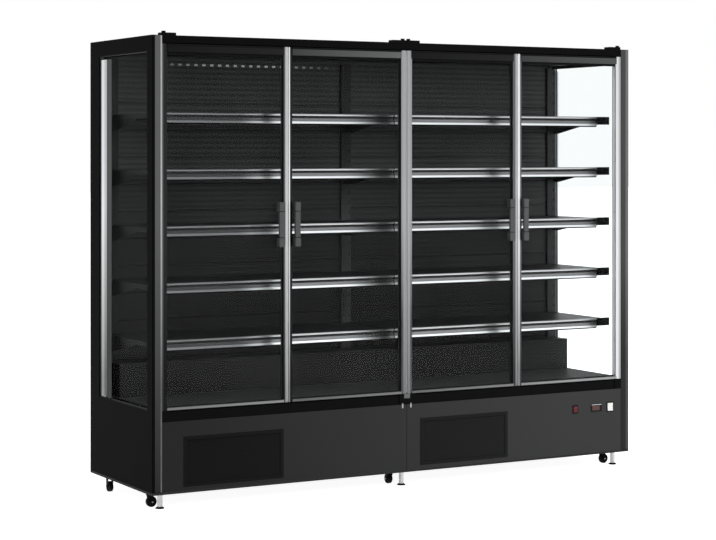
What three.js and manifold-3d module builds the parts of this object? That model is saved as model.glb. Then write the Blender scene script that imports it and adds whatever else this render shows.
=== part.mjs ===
// A plug-in multideck display refrigerator with four hinged glass doors, glazed ends, two bays of
// five shelves, and the cooling machine below the deck. Millimetres, +Z up, doors facing -Y.
// The origin lies on the floor, under the middle of the outer box.

import * as THREE from 'three';
import { mergeVertices } from 'three/addons/utils/BufferGeometryUtils.js';
import Module from 'manifold-3d';

const wasm = await Module();
wasm.setup();

// ---------------------------------------------------------------------------------------------
// Driving dimensions. Depths are measured back from the outer face of the doors.
// ---------------------------------------------------------------------------------------------

const fit = 0.3; // gap between parts that touch
const looseFit = 1; // gap round a part that is dropped in
const sheet = 2; // thickness of folded steel

const cabinetWidth = 2500;
const cabinetDepth = 700;
const cabinetTop = 2020;
const cabinetBottom = 75; // ground clearance under the base tray

const baseLip = 10; // height of the lip round the base tray
const beamHeight = 35; // beams on the tray, over the castors
const beamHalfWidth = 28;
const endBeamWidth = 60;
const postSize = 40; // posts that carry the insulated shell

const endThickness = 40; // foamed end panels
const windowFront = 60; // depth of the front edge of the end windows
const windowRearStile = 110; // from the end windows to the back of the cabinet
const windowHeadDrop = 74; // from the cabinet top to the top of the end windows
const windowSeat = 10; // how far the end glass laps its shoulder
const windowShoulder = 15; // thickness of that shoulder
const endGlassThickness = 20;

const doorZoneDepth = 44; // doors, sill and fascia lie in front of the shell
const shellFloorBottom = 330; // underside of the insulated floor, over the machine
const shellFloorThickness = 50;
const shellWall = 60; // insulated back and roof
const deckTop = 435; // shelf deck, level with the bottom of the end windows

const fasciaHeight = 32;
const sillDrop = 11; // from the deck down to the top of the sill
const sillHeight = 42;
const frontSetback = 2; // fascia and sill lie this far behind the door faces
const panelDepth = 20; // folded depth of the lower front panels

const doorBottomGap = 6; // from the sill to the doors
const doorTopGap = 4; // from the door top to the fascia
const doorThickness = 35;
const hingeGap = 6; // beside each hinge stile
const meetingGap = 5; // between two doors that meet
const hingeStile = 24;
const freeStile = 18;
const topRail = 35;
const bottomRail = 12;
const glassLap = 6; // how far the pane sits inside the door frame
const glassSetback = 13;
const doorGlassThickness = 12;
const pivotInset = 12; // from the hinge edge of a door to its pivot line
const pivotDepth = 8;
const hingePinRadius = 4;
const hingePinClearance = 0.5;
const hingePinReach = 14; // length of a pin inside the door
const hingeCoverLength = 66;
const hingeCoverHeight = 11;
const hingeCoverGap = 8; // between the two covers at the centre
const pinHeadRadius = 9;
const pinHeadHeight = 7;

const handleProjection = 20; // in front of the door face
const handleWidth = 28;
const handleHeight = 196;
const handleBlockHeight = 40;
const handleRise = 680; // from the bottom of a door to its handle
const handleInset = 22.5; // from the free edge of a door
const gripWidth = 20;
const gripThickness = 14;

const shelfLevels = 5;
const shelfFront = 112;
const shelfRearGap = 2; // from the uprights to the shelf trays
const firstRailRise = 231; // from the deck to the lowest ticket rail
const shelfPitch = 245;
const railHeight = 50;
const railDepth = 12;
const railLip = 4;
const trayDrop = 6; // from the rail's top edge to the tray
const trayHeight = 20;
const shelfEndGap = 5; // from a shelf to the end glass
const bracketInset = 12.5; // from a shelf's end to the middle of its bracket
const bracketThickness = 4;
const bracketReach = 291;
const bracketTipHeight = 28;
const hookDrop = 14; // from the tray top to the upper hook
const slotsPerPitch = 5; // slots in an upright for each shelf pitch
const slotHeight = 16;
const slotClearance = 0.6;
const hookReach = 10;

const uprightWidth = 50;
const uprightDepth = 18;
const ductDepth = 57; // air space behind the duct panel
const creaseDepth = 6;
const creaseHeight = 10;
const creasesPerPitch = 2;
const riserDepth = 132; // box over the evaporator, in front of the duct panel
const riserHeight = 149;
const ductSlots = 20;
const ductSlotWidth = 30;
const ductSlotHeight = 12;
const ductSlotDrop = 31; // from the ceiling to the air slots
const deckSlots = 16;
const deckSlotWidth = 90;
const deckSlotDepth = 16;
const deckSlotFront = 70;

const lampInset = 60; // from the end panels
const lampDepth = 30;
const lampHeight = 14;
const lampFront = 60;

const grilleWidth = 458;
const grilleHeight = 204;
const grilleRise = 21; // from the base tray's lip
const leftGrilleInset = 155; // from the left end of the cabinet
const rightGrilleStart = 80; // from the middle of the cabinet
const louvreRows = 13;
const louvreColumns = 2;
const louvreHeight = 8;
const louvreBridge = 12; // steel left between louvre columns

const controlDrop = 84; // from the sill to the middle of the controls
const bezelWidth = 4;
const bezelProud = 3;
const powerSwitchInset = 315; // from the right end of the cabinet
const powerSwitch = { width: 22, height: 30 };
const lightSwitchInset = 111;
const lightSwitch = { width: 30, height: 38 };
const controllerInset = 192;
const controllerWidth = 62;
const controllerHeight = 36;
const controllerBodyDepth = 55;
const switchDepth = 14;
const trunnionRadius = 2;

const castorInset = 50; // from the ends of the cabinet to the castors there
const frontCastorDepth = 153;
const rearCastorInset = 108; // from the back of the cabinet
const castorTrail = 12;
const wheelRadius = 24;
const wheelWidth = 20;
const axleRadius = 4;
const axleClearance = 0.5;
const forkThickness = 3;
const forkHeadRadius = 18;
const kingpinRadius = 5;
const kingpinLength = 30;
const castorPlate = 3;
const castorPlateSize = 44;

const footOffsetX = 30; // from a front castor to the levelling foot beside it
const footOffsetDepth = -52;
const footRadius = 19.5;
const footBaseHeight = 7;
const footStemRadius = 5;
const footStemDrop = 4; // from the top of the beams to the end of a stem
const footNutRadius = 9; // welded nut in the base tray
const footSleeveRadius = 12.5; // hexagonal sleeve that a spanner turns

const compressorInset = 430; // from the right end of the cabinet
const compressorRearInset = 300;
const compressorRadius = 85;
const compressorHeight = 190;
const condenserWidth = 340;
const condenserFront = 70;
const condenserThickness = 44;
const condenserHeight = 236;
const condenserFins = 16;
const finGap = 6;
const fanRadius = 88;
const fanBlades = 5;
const bladePitch = 28; // degrees
const fanHubRadius = 26;
const fanHubLength = 26;
const shroudWall = 4;
const shroudLength = 48;
const motorRadius = 30;
const motorLength = 40;
const evaporatorInset = 110; // from the end panels
const evaporatorDepth = 110;
const evaporatorHeight = 120;
const evaporatorGap = 40; // air space behind it
const evaporatorFins = 22;

const roundSides = 16;

// ---------------------------------------------------------------------------------------------
// Places worked out from the dimensions above
// ---------------------------------------------------------------------------------------------

const halfWidth = cabinetWidth / 2;
const innerHalf = halfWidth - endThickness;
const clearHalf = innerHalf - fit; // a part that spans between the end panels
const trayTop = cabinetBottom + baseLip;
const beamTop = cabinetBottom + sheet + beamHeight;
const windowTop = cabinetTop - windowHeadDrop;
const windowRear = cabinetDepth - windowRearStile;
const glassInnerFace = innerHalf + windowShoulder;
const shellFloorTop = shellFloorBottom + shellFloorThickness;
const ceiling = cabinetTop - shellWall;
const shellBack = cabinetDepth - shellWall;
const shellFront = doorZoneDepth + fit;
const sillTop = deckTop - sillDrop;
const sillBottom = sillTop - sillHeight;
const fasciaBottom = cabinetTop - fasciaHeight;
const doorTop = fasciaBottom - doorTopGap;
const doorBottom = sillTop + doorBottomGap;
const doorHeight = doorTop - doorBottom;
const doorWidth = (2 * innerHalf - 3 * hingeGap - 2 * meetingGap) / 4;
const endPivot = innerHalf - hingeGap - pivotInset;
const centrePivot = hingeGap / 2 + pivotInset;
const wallFace = shellBack - ductDepth;
const riserFront = wallFace - riserDepth;
const riserTop = deckTop + riserHeight;
const ductSlotTop = ceiling - ductSlotDrop;
const uprightFront = wallFace - uprightDepth;
const shelfRear = uprightFront - shelfRearGap;
const firstRailBottom = deckTop + firstRailRise;
const bracketTip = shelfRear - bracketReach;
const shelfOuterEnd = glassInnerFace - shelfEndGap;
const shelfInnerEnd = shelfEndGap / 2;
const slotPitch = shelfPitch / slotsPerPitch;
const bracketHeight = hookDrop + slotPitch + slotHeight / 2 + sheet;
const lampHalf = innerHalf - lampInset;
const grilleBottom = trayTop + grilleRise;
const leftGrilleStart = leftGrilleInset - halfWidth;
const controlHeight = sillBottom - controlDrop;
const powerSwitchX = halfWidth - powerSwitchInset;
const controllerX = halfWidth - controllerInset;
const lightSwitchX = halfWidth - lightSwitchInset;
const condenserX = rightGrilleStart + grilleWidth / 2;
const compressorX = halfWidth - compressorInset;
const compressorDepth = cabinetDepth - compressorRearInset;
const evaporatorWidth = 2 * ( innerHalf - evaporatorInset );
const evaporatorFront = shellBack - evaporatorGap - evaporatorDepth;
const castorSide = halfWidth - castorInset;
const rearCastorDepth = cabinetDepth - rearCastorInset;
// Each wheel stands on a flat of its tread.
const axleHeight = wheelRadius * Math.cos( Math.PI / roundSides );
const castorPlateBottom = cabinetBottom - castorPlate;
const forkTop = castorPlateBottom - fit;
const footStemTop = beamTop - footStemDrop;
const footSleeveTop = cabinetBottom - looseFit;

const frontCastors = [
	{ side: 'left', x: -castorSide, swivel: -90 },
	{ side: 'centre', x: 0, swivel: 0 },
	{ side: 'right', x: castorSide, swivel: -90 },
];
const rearCastors = [
	{ side: 'left', x: -castorSide },
	{ side: 'centre', x: 0 },
	{ side: 'right', x: castorSide },
];
const feet = frontCastors.map( ( castor ) => ( {
	side: castor.side,
	x: castor.x + footOffsetX,
	depth: frontCastorDepth + footOffsetDepth,
} ) );

// ---------------------------------------------------------------------------------------------
// Materials
// ---------------------------------------------------------------------------------------------

function finish( color, roughness, metalness, opacity = 1 ) {

	return new THREE.MeshStandardMaterial( {
		color, roughness, metalness, opacity, transparent: opacity < 1,
	} );

}

const finishes = {
	blackSteel: () => finish( 0x1a1a1b, 0.5, 0.2 ),
	greySteel: () => finish( 0x333435, 0.5, 0.2 ),
	linerSteel: () => finish( 0x262728, 0.45, 0.2 ),
	aluminium: () => finish( 0xb4b6b8, 0.35, 0.9 ),
	zincSteel: () => finish( 0x9a9c9e, 0.4, 0.8 ),
	glass: () => finish( 0xdfeeee, 0.05, 0, 0.3 ),
	blackPlastic: () => finish( 0x121213, 0.5, 0 ),
	redPlastic: () => finish( 0xb01c1c, 0.35, 0 ),
	whitePlastic: () => finish( 0xe6e6e4, 0.4, 0 ),
	rubber: () => finish( 0x161616, 0.8, 0 ),
};

// ---------------------------------------------------------------------------------------------
// Solids
// ---------------------------------------------------------------------------------------------

const xAxis = new THREE.Vector3( 1, 0, 0 );
const yAxis = new THREE.Vector3( 0, 1, 0 );
const zAxis = new THREE.Vector3( 0, 0, 1 );

function solid( geometry ) {

	geometry.deleteAttribute( 'normal' );
	geometry.deleteAttribute( 'uv' );
	const merged = mergeVertices( geometry, 1e-4 );
	const mesh = new wasm.Mesh( {
		numProp: 3,
		vertProperties: merged.attributes.position.array,
		triVerts: new Uint32Array( merged.index.array ),
	} );
	return new wasm.Manifold( mesh );

}

function ordered( [ a, b ] ) {

	return [ Math.min( a, b ), Math.max( a, b ) ];

}

// A block between two values along each axis.
function block( x, y, z ) {

	const [ x0, x1 ] = ordered( x );
	const [ y0, y1 ] = ordered( y );
	const [ z0, z1 ] = ordered( z );
	const geometry = new THREE.BoxGeometry( x1 - x0, y1 - y0, z1 - z0 );
	geometry.translate( ( x0 + x1 ) / 2, ( y0 + y1 ) / 2, ( z0 + z1 ) / 2 );
	return solid( geometry );

}

function extruded( points, length ) {

	const shape = new THREE.Shape( points.map( ( [ u, v ] ) => new THREE.Vector2( u, v ) ) );
	return new THREE.ExtrudeGeometry( shape, { depth: length, bevelEnabled: false } );

}

// A profile of [depth, height] points run along X.
function prismAlongX( points, x ) {

	const [ from, to ] = ordered( x );
	const geometry = extruded( points, to - from );
	geometry.applyMatrix4( new THREE.Matrix4().makeBasis( yAxis, zAxis, xAxis ) );
	geometry.translate( from, 0, 0 );
	return solid( geometry );

}

// A plan of [x, depth] points run upwards.
function prismUp( points, z ) {

	const [ from, to ] = ordered( z );
	const geometry = extruded( points, to - from );
	geometry.translate( 0, 0, from );
	return solid( geometry );

}

function rod( radius, length, sides = roundSides ) {

	return new THREE.CylinderGeometry( radius, radius, length, sides );

}

function rodUp( radius, x, y, z, sides ) {

	const [ from, to ] = ordered( z );
	const geometry = rod( radius, to - from, sides );
	geometry.rotateX( Math.PI / 2 );
	geometry.translate( x, y, ( from + to ) / 2 );
	return solid( geometry );

}

function rodAlongX( radius, x, y, z, sides ) {

	const [ from, to ] = ordered( x );
	const geometry = rod( radius, to - from, sides );
	geometry.rotateZ( Math.PI / 2 );
	geometry.translate( ( from + to ) / 2, y, z );
	return solid( geometry );

}

function rodAlongY( radius, x, y, z, sides ) {

	const [ from, to ] = ordered( y );
	const geometry = rod( radius, to - from, sides );
	geometry.translate( x, ( from + to ) / 2, z );
	return solid( geometry );

}

function joined( parts ) {

	return parts.reduce( ( whole, part ) => whole.add( part ) );

}

// The closed outline of a folded sheet: its outer path, then the same path set in to the right.
function foldedSheet( path, thickness ) {

	const points = path.map( ( [ u, v ] ) => new THREE.Vector2( u, v ) );
	const sides = points.slice( 1 ).map( ( point, i ) => {

		const along = point.clone().sub( points[ i ] ).normalize();
		return new THREE.Vector2( along.y, - along.x );

	} );
	const inner = points.map( ( point, i ) => {

		const before = sides[ Math.max( i - 1, 0 ) ];
		const after = sides[ Math.min( i, sides.length - 1 ) ];
		const reach = thickness / ( 1 + before.dot( after ) );
		return before.clone().add( after ).multiplyScalar( reach ).add( point );

	} );
	return [ ...path, ...inner.reverse().map( ( point ) => [ point.x, point.y ] ) ];

}

function piece( name, shape, material ) {

	const { vertProperties, triVerts } = shape.getMesh();
	const geometry = new THREE.BufferGeometry();
	geometry.setAttribute( 'position', new THREE.BufferAttribute( vertProperties, 3 ) );
	geometry.setIndex( new THREE.BufferAttribute( triVerts, 1 ) );
	geometry.computeVertexNormals();
	const mesh = new THREE.Mesh( geometry, material );
	mesh.name = name;
	return mesh;

}

// Evenly spaced middles of a row of copies between two ends.
function spaced( count, from, to ) {

	const step = ( to - from ) / count;
	return Array.from( { length: count }, ( _, i ) => from + step * ( i + 0.5 ) );

}

// ---------------------------------------------------------------------------------------------
// Base
// ---------------------------------------------------------------------------------------------

// Where a levelling stem passes through the base and, at the right, up into the end panel.
function footBores() {

	return joined( feet.map( ( foot ) => rodUp(
		footStemRadius + looseFit / 2, foot.x, foot.depth, [ 0, footStemTop + looseFit ] ) ) );

}

function castorLeg( x, axle, top ) {

	const headHalf = forkHeadRadius * 0.7;
	const tipHalf = axleRadius + forkThickness;
	const outline = [
		[ -headHalf, top ], [ axle - tipHalf, axleHeight ], [ axle - tipHalf * 0.6, axleHeight - tipHalf ],
		[ axle + tipHalf * 0.6, axleHeight - tipHalf ], [ axle + tipHalf, axleHeight ], [ headHalf, top ],
	];
	return prismAlongX( outline, [ x, x + Math.sign( x ) * forkThickness ] );

}

// The two legs and the axle that a castor wheel turns on, under a head at the given height.
function castorLegs( trail, top ) {

	const inside = wheelWidth / 2 + looseFit;
	const outside = inside + forkThickness;
	return joined( [
		castorLeg( inside, trail, top ),
		castorLeg( -inside, trail, top ),
		rodAlongX( axleRadius, [ -outside - looseFit, outside + looseFit ], trail, axleHeight ),
	] );

}

function baseFrame() {

	const full = [ -halfWidth, halfWidth ];
	const tray = block( full, [ 0, cabinetDepth ], [ cabinetBottom, trayTop ] ).subtract( block(
		[ -halfWidth + sheet, halfWidth - sheet ],
		[ sheet, cabinetDepth - sheet ],
		[ cabinetBottom + sheet, trayTop + sheet ] ) );
	const beamFront = panelDepth + looseFit;
	const beamRear = cabinetDepth - sheet;
	const beamZ = [ cabinetBottom, beamTop ];
	const endBeam = ( side ) => block(
		[ side * clearHalf, side * ( clearHalf - endBeamWidth ) ], [ beamFront, beamRear ], beamZ );
	const centreX = footOffsetX / 2;
	const centreBeam = block(
		[ centreX - beamHalfWidth, centreX + beamHalfWidth ], [ beamFront, beamRear ], beamZ );
	const parts = [ tray, endBeam( -1 ), endBeam( 1 ), centreBeam ];

	const postFront = condenserFront;
	for ( const x of [ -clearHalf + endBeamWidth / 2, centreX, clearHalf - endBeamWidth / 2 ] ) {

		for ( const y of [ postFront + postSize / 2, beamRear - postSize / 2 ] ) {

			parts.push( block(
				[ x - postSize / 2, x + postSize / 2 ],
				[ y - postSize / 2, y + postSize / 2 ],
				[ cabinetBottom, shellFloorBottom - fit ] ) );

		}

	}

	const plateHalf = castorPlateSize / 2;
	const plateZ = [ castorPlateBottom, cabinetBottom + sheet ];
	const plate = ( x, depth ) => block( [ x - plateHalf, x + plateHalf ],
		[ depth - plateHalf, depth + plateHalf ], plateZ );
	for ( const { x } of frontCastors ) parts.push( plate( x, frontCastorDepth ) );
	for ( const { x } of rearCastors ) {

		parts.push( plate( x, rearCastorDepth ),
			castorLegs( 0, castorPlateBottom + looseFit ).translate( [ x, rearCastorDepth, 0 ] ) );

	}

	for ( const foot of feet ) {

		parts.push( rodUp( footNutRadius, foot.x, foot.depth, [ cabinetBottom, trayTop ] ) );

	}

	const kingpinBores = joined( frontCastors.map( ( { x } ) => rodUp(
		kingpinRadius + axleClearance, x, frontCastorDepth,
		[ castorPlateBottom - looseFit, forkTop + kingpinLength + looseFit ] ) ) );
	return joined( parts ).subtract( kingpinBores ).subtract( footBores() );

}

function castorFork() {

	const head = rodUp( forkHeadRadius, 0, 0, [ forkTop - forkThickness, forkTop ] );
	const kingpin = rodUp( kingpinRadius, 0, 0, [ forkTop - forkThickness, forkTop + kingpinLength ] );
	return joined( [ head, kingpin, castorLegs( castorTrail, forkTop - forkThickness / 2 ) ] );

}

function castorWheel() {

	const half = wheelWidth / 2;
	const shoulder = 2;
	const profile = [
		[ axleRadius + axleClearance, -half ], [ wheelRadius - shoulder, -half ],
		[ wheelRadius, -half + shoulder ], [ wheelRadius, half - shoulder ],
		[ wheelRadius - shoulder, half ], [ axleRadius + axleClearance, half ],
		[ axleRadius + axleClearance, -half ],
	];
	const points = profile.map( ( [ r, h ] ) => new THREE.Vector2( r, h ) );
	const geometry = new THREE.LatheGeometry( points, roundSides );
	geometry.rotateY( Math.PI / roundSides );
	geometry.rotateZ( Math.PI / 2 );
	return solid( geometry );

}

// Moulded foot, threaded stem and hexagonal adjusting sleeve.
function levellingFoot() {

	const foot = new THREE.CylinderGeometry( footRadius * 0.7, footRadius, footBaseHeight, roundSides );
	foot.rotateX( Math.PI / 2 );
	foot.translate( 0, 0, footBaseHeight / 2 );
	return joined( [
		solid( foot ),
		rodUp( footStemRadius, 0, 0, [ footBaseHeight / 2, footStemTop ] ),
		rodUp( footSleeveRadius, 0, 0, [ footBaseHeight / 2, footSleeveTop ], 6 ),
	] );

}

// ---------------------------------------------------------------------------------------------
// Insulated shell, end panels and glazed ends
// ---------------------------------------------------------------------------------------------

// Roof, back and floor foamed as one C-shaped shell.
function insulatedBody() {

	return prismAlongX( [
		[ shellFront, cabinetTop ], [ shellFront, ceiling ], [ shellBack, ceiling ],
		[ shellBack, shellFloorTop ], [ shellFront, shellFloorTop ], [ shellFront, shellFloorBottom ],
		[ cabinetDepth, shellFloorBottom ], [ cabinetDepth, cabinetTop ],
	], [ -clearHalf, clearHalf ] );

}

function endPanel( side ) {

	const slab = block( [ side * innerHalf, side * halfWidth ],
		[ 0, cabinetDepth ], [ trayTop + fit, cabinetTop ] );
	const window = block( [ side * ( innerHalf - looseFit ), side * ( halfWidth + looseFit ) ],
		[ windowFront, windowRear ], [ deckTop, windowTop ] );
	const seat = block( [ side * glassInnerFace, side * ( halfWidth + looseFit ) ],
		[ windowFront - windowSeat, windowRear + windowSeat ],
		[ deckTop - windowSeat, windowTop + windowSeat ] );
	return slab.subtract( window ).subtract( seat ).subtract( footBores() );

}

function endGlass( side ) {

	const lap = windowSeat - fit;
	return block( [ side * ( glassInnerFace + fit ), side * ( glassInnerFace + endGlassThickness ) ],
		[ windowFront - lap, windowRear + lap ], [ deckTop - lap, windowTop + lap ] );

}

// ---------------------------------------------------------------------------------------------
// Interior
// ---------------------------------------------------------------------------------------------

// Folded rear wall: a riser over the evaporator, then a creased face with a row of air slots.
function ductPanel() {

	const path = [ [ riserFront, deckTop + fit ], [ riserFront, riserTop ], [ wallFace, riserTop ] ];
	const creasePitch = shelfPitch / creasesPerPitch;
	const creaseCount = Math.floor( ( ductSlotTop - ductSlotHeight - riserTop - creaseHeight ) / creasePitch );
	for ( let i = 0; i < creaseCount; i ++ ) {

		const z = riserTop + creasePitch * ( i + 0.5 );
		path.push(
			[ wallFace, z - creaseHeight / 2 ],
			[ wallFace + creaseDepth, z ],
			[ wallFace, z + creaseHeight / 2 ] );

	}

	path.push( [ wallFace, ceiling - fit ] );
	const wall = prismAlongX( foldedSheet( path, sheet ), [ -clearHalf, clearHalf ] );
	const slots = spaced( ductSlots, -clearHalf, clearHalf ).map( ( x ) => block(
		[ x - ductSlotWidth / 2, x + ductSlotWidth / 2 ],
		[ wallFace - sheet, wallFace + 2 * sheet ],
		[ ductSlotTop - ductSlotHeight, ductSlotTop ] ) );
	return wall.subtract( joined( slots ) );

}

// Folded deck over the insulated floor, with air return slots behind the doors.
function deckPan() {

	const front = shellFront + looseFit;
	const rear = riserFront - fit;
	const foot = shellFloorTop + fit;
	const path = [ [ front, foot ], [ front, deckTop ], [ rear, deckTop ], [ rear, foot ] ];
	const pan = prismAlongX( foldedSheet( path, sheet ), [ -clearHalf, clearHalf ] );
	const slots = spaced( deckSlots, -clearHalf, clearHalf ).map( ( x ) => block(
		[ x - deckSlotWidth / 2, x + deckSlotWidth / 2 ],
		[ deckSlotFront, deckSlotFront + deckSlotDepth ],
		[ deckTop - 2 * sheet, deckTop + sheet ] ) );
	return pan.subtract( joined( slots ) );

}

function levelTop( level ) {

	return firstRailBottom + shelfPitch * level + railHeight - trayDrop;

}

// Heights of the slots in an upright, on a grid that the shelf hooks fall on.
function slotHeights() {

	const first = levelTop( 0 ) - hookDrop;
	const below = Math.floor( ( first - slotHeight - riserTop ) / slotPitch );
	const above = Math.floor( ( windowTop - slotHeight - first ) / slotPitch );
	return Array.from( { length: below + above + 1 }, ( _, i ) => first + slotPitch * ( i - below ) );

}

// Folded channel with a column of slots for each shelf bracket that hangs on it.
function upright( middle, columns ) {

	const half = uprightWidth / 2;
	const rear = wallFace - fit;
	const plan = [
		[ middle + half, rear ], [ middle + half, uprightFront ],
		[ middle - half, uprightFront ], [ middle - half, rear ],
	];
	const channel = prismUp( foldedSheet( plan, sheet ), [ riserTop + fit, windowTop - looseFit ] );
	const slotHalf = bracketThickness / 2 + slotClearance;
	const slots = columns.flatMap( ( x ) => slotHeights().map( ( z ) => block(
		[ x - slotHalf, x + slotHalf ],
		[ uprightFront - sheet, uprightFront + 2 * sheet ],
		[ z - slotHeight / 2, z + slotHeight / 2 ] ) ) );
	return channel.subtract( joined( slots ) );

}

// A cantilever bracket with two hooks, drawn for a tray top at height 0.
function bracket( x ) {

	const span = [ x - bracketThickness / 2, x + bracketThickness / 2 ];
	const top = - sheet / 2;
	const web = prismAlongX( [
		[ bracketTip, top ], [ bracketTip, -bracketTipHeight ], [ shelfRear - bracketHeight / 2, -bracketHeight ],
		[ shelfRear, -bracketHeight ], [ shelfRear, top ],
	], span );
	const tongueTip = uprightFront + sheet + hookReach;
	const slotBottom = -slotHeight / 2 + fit;
	const hooks = [ hookDrop, hookDrop + slotPitch ].map( ( drop ) => prismAlongX( [
		[ shelfRear - sheet, slotBottom - drop ],
		[ uprightFront + sheet + fit, slotBottom - drop ],
		[ uprightFront + sheet + fit, slotBottom - drop - sheet ],
		[ tongueTip, slotBottom - drop - sheet ],
		[ tongueTip, -drop ],
		[ shelfRear - sheet, slotHeight / 4 - drop ],
	], span ) );
	return joined( [ web, ...hooks ] );

}

// Tray, two brackets and the ticket rail on its front edge, drawn for a tray top at height 0.
function shelf( side ) {

	const ends = ordered( [ side * shelfInnerEnd, side * shelfOuterEnd ] );
	const trayFront = shelfFront + railDepth / 2;
	const tray = block( ends, [ trayFront, shelfRear ], [ -trayHeight, 0 ] ).subtract( block(
		[ ends[ 0 ] + sheet, ends[ 1 ] - sheet ],
		[ trayFront + railDepth, shelfRear - sheet ],
		[ -trayHeight - sheet, -sheet ] ) );
	const railTop = trayDrop;
	const railBottom = railTop - railHeight;
	const rail = prismAlongX( [
		[ shelfFront, railBottom ], [ shelfFront, railBottom + railLip ],
		[ shelfFront + railLip, railBottom + railLip ], [ shelfFront + railLip, railTop - railLip ],
		[ shelfFront, railTop - railLip ], [ shelfFront, railTop ],
		[ shelfFront + railDepth, railTop ], [ shelfFront + railDepth, railBottom ],
	], ends );
	return joined( [ tray, rail, bracket( ends[ 0 ] + bracketInset ), bracket( ends[ 1 ] - bracketInset ) ] );

}

function canopyLamp() {

	return block( [ -lampHalf, lampHalf ], [ lampFront, lampFront + lampDepth ],
		[ ceiling - fit - lampHeight, ceiling - fit ] );

}

// ---------------------------------------------------------------------------------------------
// Doors, fascia and sill
// ---------------------------------------------------------------------------------------------

const doors = [
	{ number: 1, pivot: -endPivot, reach: 1 },
	{ number: 2, pivot: -centrePivot, reach: -1 },
	{ number: 3, pivot: centrePivot, reach: 1 },
	{ number: 4, pivot: endPivot, reach: -1 },
];

// The door pieces are drawn about the pivot line; reach is +1 where the door runs towards +X.
function doorGlassBlock( reach, margin ) {

	const near = hingeStile - pivotInset - glassLap - margin;
	const far = doorWidth - freeStile - pivotInset + glassLap + margin;
	const front = glassSetback - pivotDepth - margin;
	return block(
		[ reach * near, reach * far ],
		[ front, front + doorGlassThickness + 2 * margin ],
		[ bottomRail - glassLap - margin, doorHeight - topRail + glassLap + margin ] );

}

function doorFrame( reach ) {

	const outer = block(
		[ -reach * pivotInset, reach * ( doorWidth - pivotInset ) ],
		[ -pivotDepth, doorThickness - pivotDepth ], [ 0, doorHeight ] );
	const opening = block(
		[ reach * ( hingeStile - pivotInset ), reach * ( doorWidth - freeStile - pivotInset ) ],
		[ -pivotDepth - looseFit, doorThickness - pivotDepth + looseFit ],
		[ bottomRail, doorHeight - topRail ] );
	const boreRadius = hingePinRadius + hingePinClearance;
	const boreDepth = hingePinReach + looseFit;
	return outer
		.subtract( opening )
		.subtract( doorGlassBlock( reach, fit ) )
		.subtract( rodUp( boreRadius, 0, 0, [ -looseFit, boreDepth ] ) )
		.subtract( rodUp( boreRadius, 0, 0, [ doorHeight - boreDepth, doorHeight + looseFit ] ) );

}

function doorHandle( reach ) {

	const edge = doorWidth - pivotInset - handleInset;
	const width = [ reach * edge, reach * ( edge - handleWidth ) ];
	const gripEdge = edge - ( handleWidth - gripWidth ) / 2;
	const face = glassSetback - pivotDepth - fit;
	const front = -pivotDepth - handleProjection;
	const bottom = handleRise;
	const top = bottom + handleHeight;
	return joined( [
		block( width, [ front, face ], [ bottom, bottom + handleBlockHeight ] ),
		block( width, [ front, face ], [ top - handleBlockHeight, top ] ),
		block( [ reach * gripEdge, reach * ( gripEdge - gripWidth ) ], [ front, front + gripThickness ],
			[ bottom + sheet, top - sheet ] ),
	] );

}

function hingePin( x, z ) {

	return rodUp( hingePinRadius, x, pivotDepth, z );

}

// Folded fascia over the doors, bored for the top hinge pins.
function topFascia() {

	const path = [
		[ doorZoneDepth, fasciaBottom ], [ frontSetback, fasciaBottom ],
		[ frontSetback, cabinetTop ], [ doorZoneDepth, cabinetTop ],
	];
	const channel = prismAlongX( foldedSheet( path, sheet ), [ -clearHalf, clearHalf ] );
	const bores = doors.map( ( { pivot } ) => rodUp( hingePinRadius + hingePinClearance, pivot, pivotDepth,
		[ fasciaBottom - looseFit, cabinetTop + looseFit ] ) );
	return channel.subtract( joined( bores ) );

}

// A cover plate on the fascia with the pin that hangs down into each door it serves.
function topHinge( pivots ) {

	const plate = ( pivot ) => {

		const inward = -Math.sign( pivot );
		const atCentre = Math.abs( pivot ) === centrePivot;
		const start = atCentre ? Math.sign( pivot ) * hingeCoverGap / 2 : pivot - inward * pivotInset;
		const end = start + ( atCentre ? -inward : inward ) * hingeCoverLength;
		const base = cabinetTop + fit;
		return joined( [
			block( [ start, end ], [ frontSetback, doorZoneDepth ], [ base, base + hingeCoverHeight ] ),
			rodUp( pinHeadRadius, pivot, pivotDepth + hingePinRadius,
				[ base, base + hingeCoverHeight + pinHeadHeight ] ),
			hingePin( pivot, [ doorTop - hingePinReach, base + sheet ] ),
		] );

	};

	const plates = pivots.map( plate );
	if ( pivots.length === 2 ) {

		plates.push( block( [ -hingeCoverLength / 2, hingeCoverLength / 2 ], [ frontSetback, doorZoneDepth ],
			[ cabinetTop + fit, cabinetTop + fit + sheet ] ) );

	}

	return joined( plates );

}

// Folded sill under the doors with the bottom hinge blocks and pins.
function doorSill() {

	const path = [
		[ doorZoneDepth, sillBottom ], [ frontSetback, sillBottom ],
		[ frontSetback, sillTop ], [ doorZoneDepth, sillTop ],
	];
	const parts = [ prismAlongX( foldedSheet( path, sheet ), [ -clearHalf, clearHalf ] ) ];
	const blockTop = doorBottom - looseFit;
	for ( const { pivot } of doors ) {

		const outward = Math.sign( pivot );
		const atCentre = Math.abs( pivot ) === centrePivot;
		const start = atCentre ? 0 : pivot + outward * pivotInset;
		const end = atCentre ? outward * ( centrePivot + 2 * pivotInset ) : pivot - outward * 2 * pivotInset;
		parts.push( block(
			[ start, end ], [ -frontSetback, doorThickness ], [ sillBottom + sheet, blockTop ] ) );
		parts.push( hingePin( pivot, [ sillTop, doorBottom + hingePinReach ] ) );

	}

	return joined( parts );

}

// ---------------------------------------------------------------------------------------------
// Lower front panels and controls
// ---------------------------------------------------------------------------------------------

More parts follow.
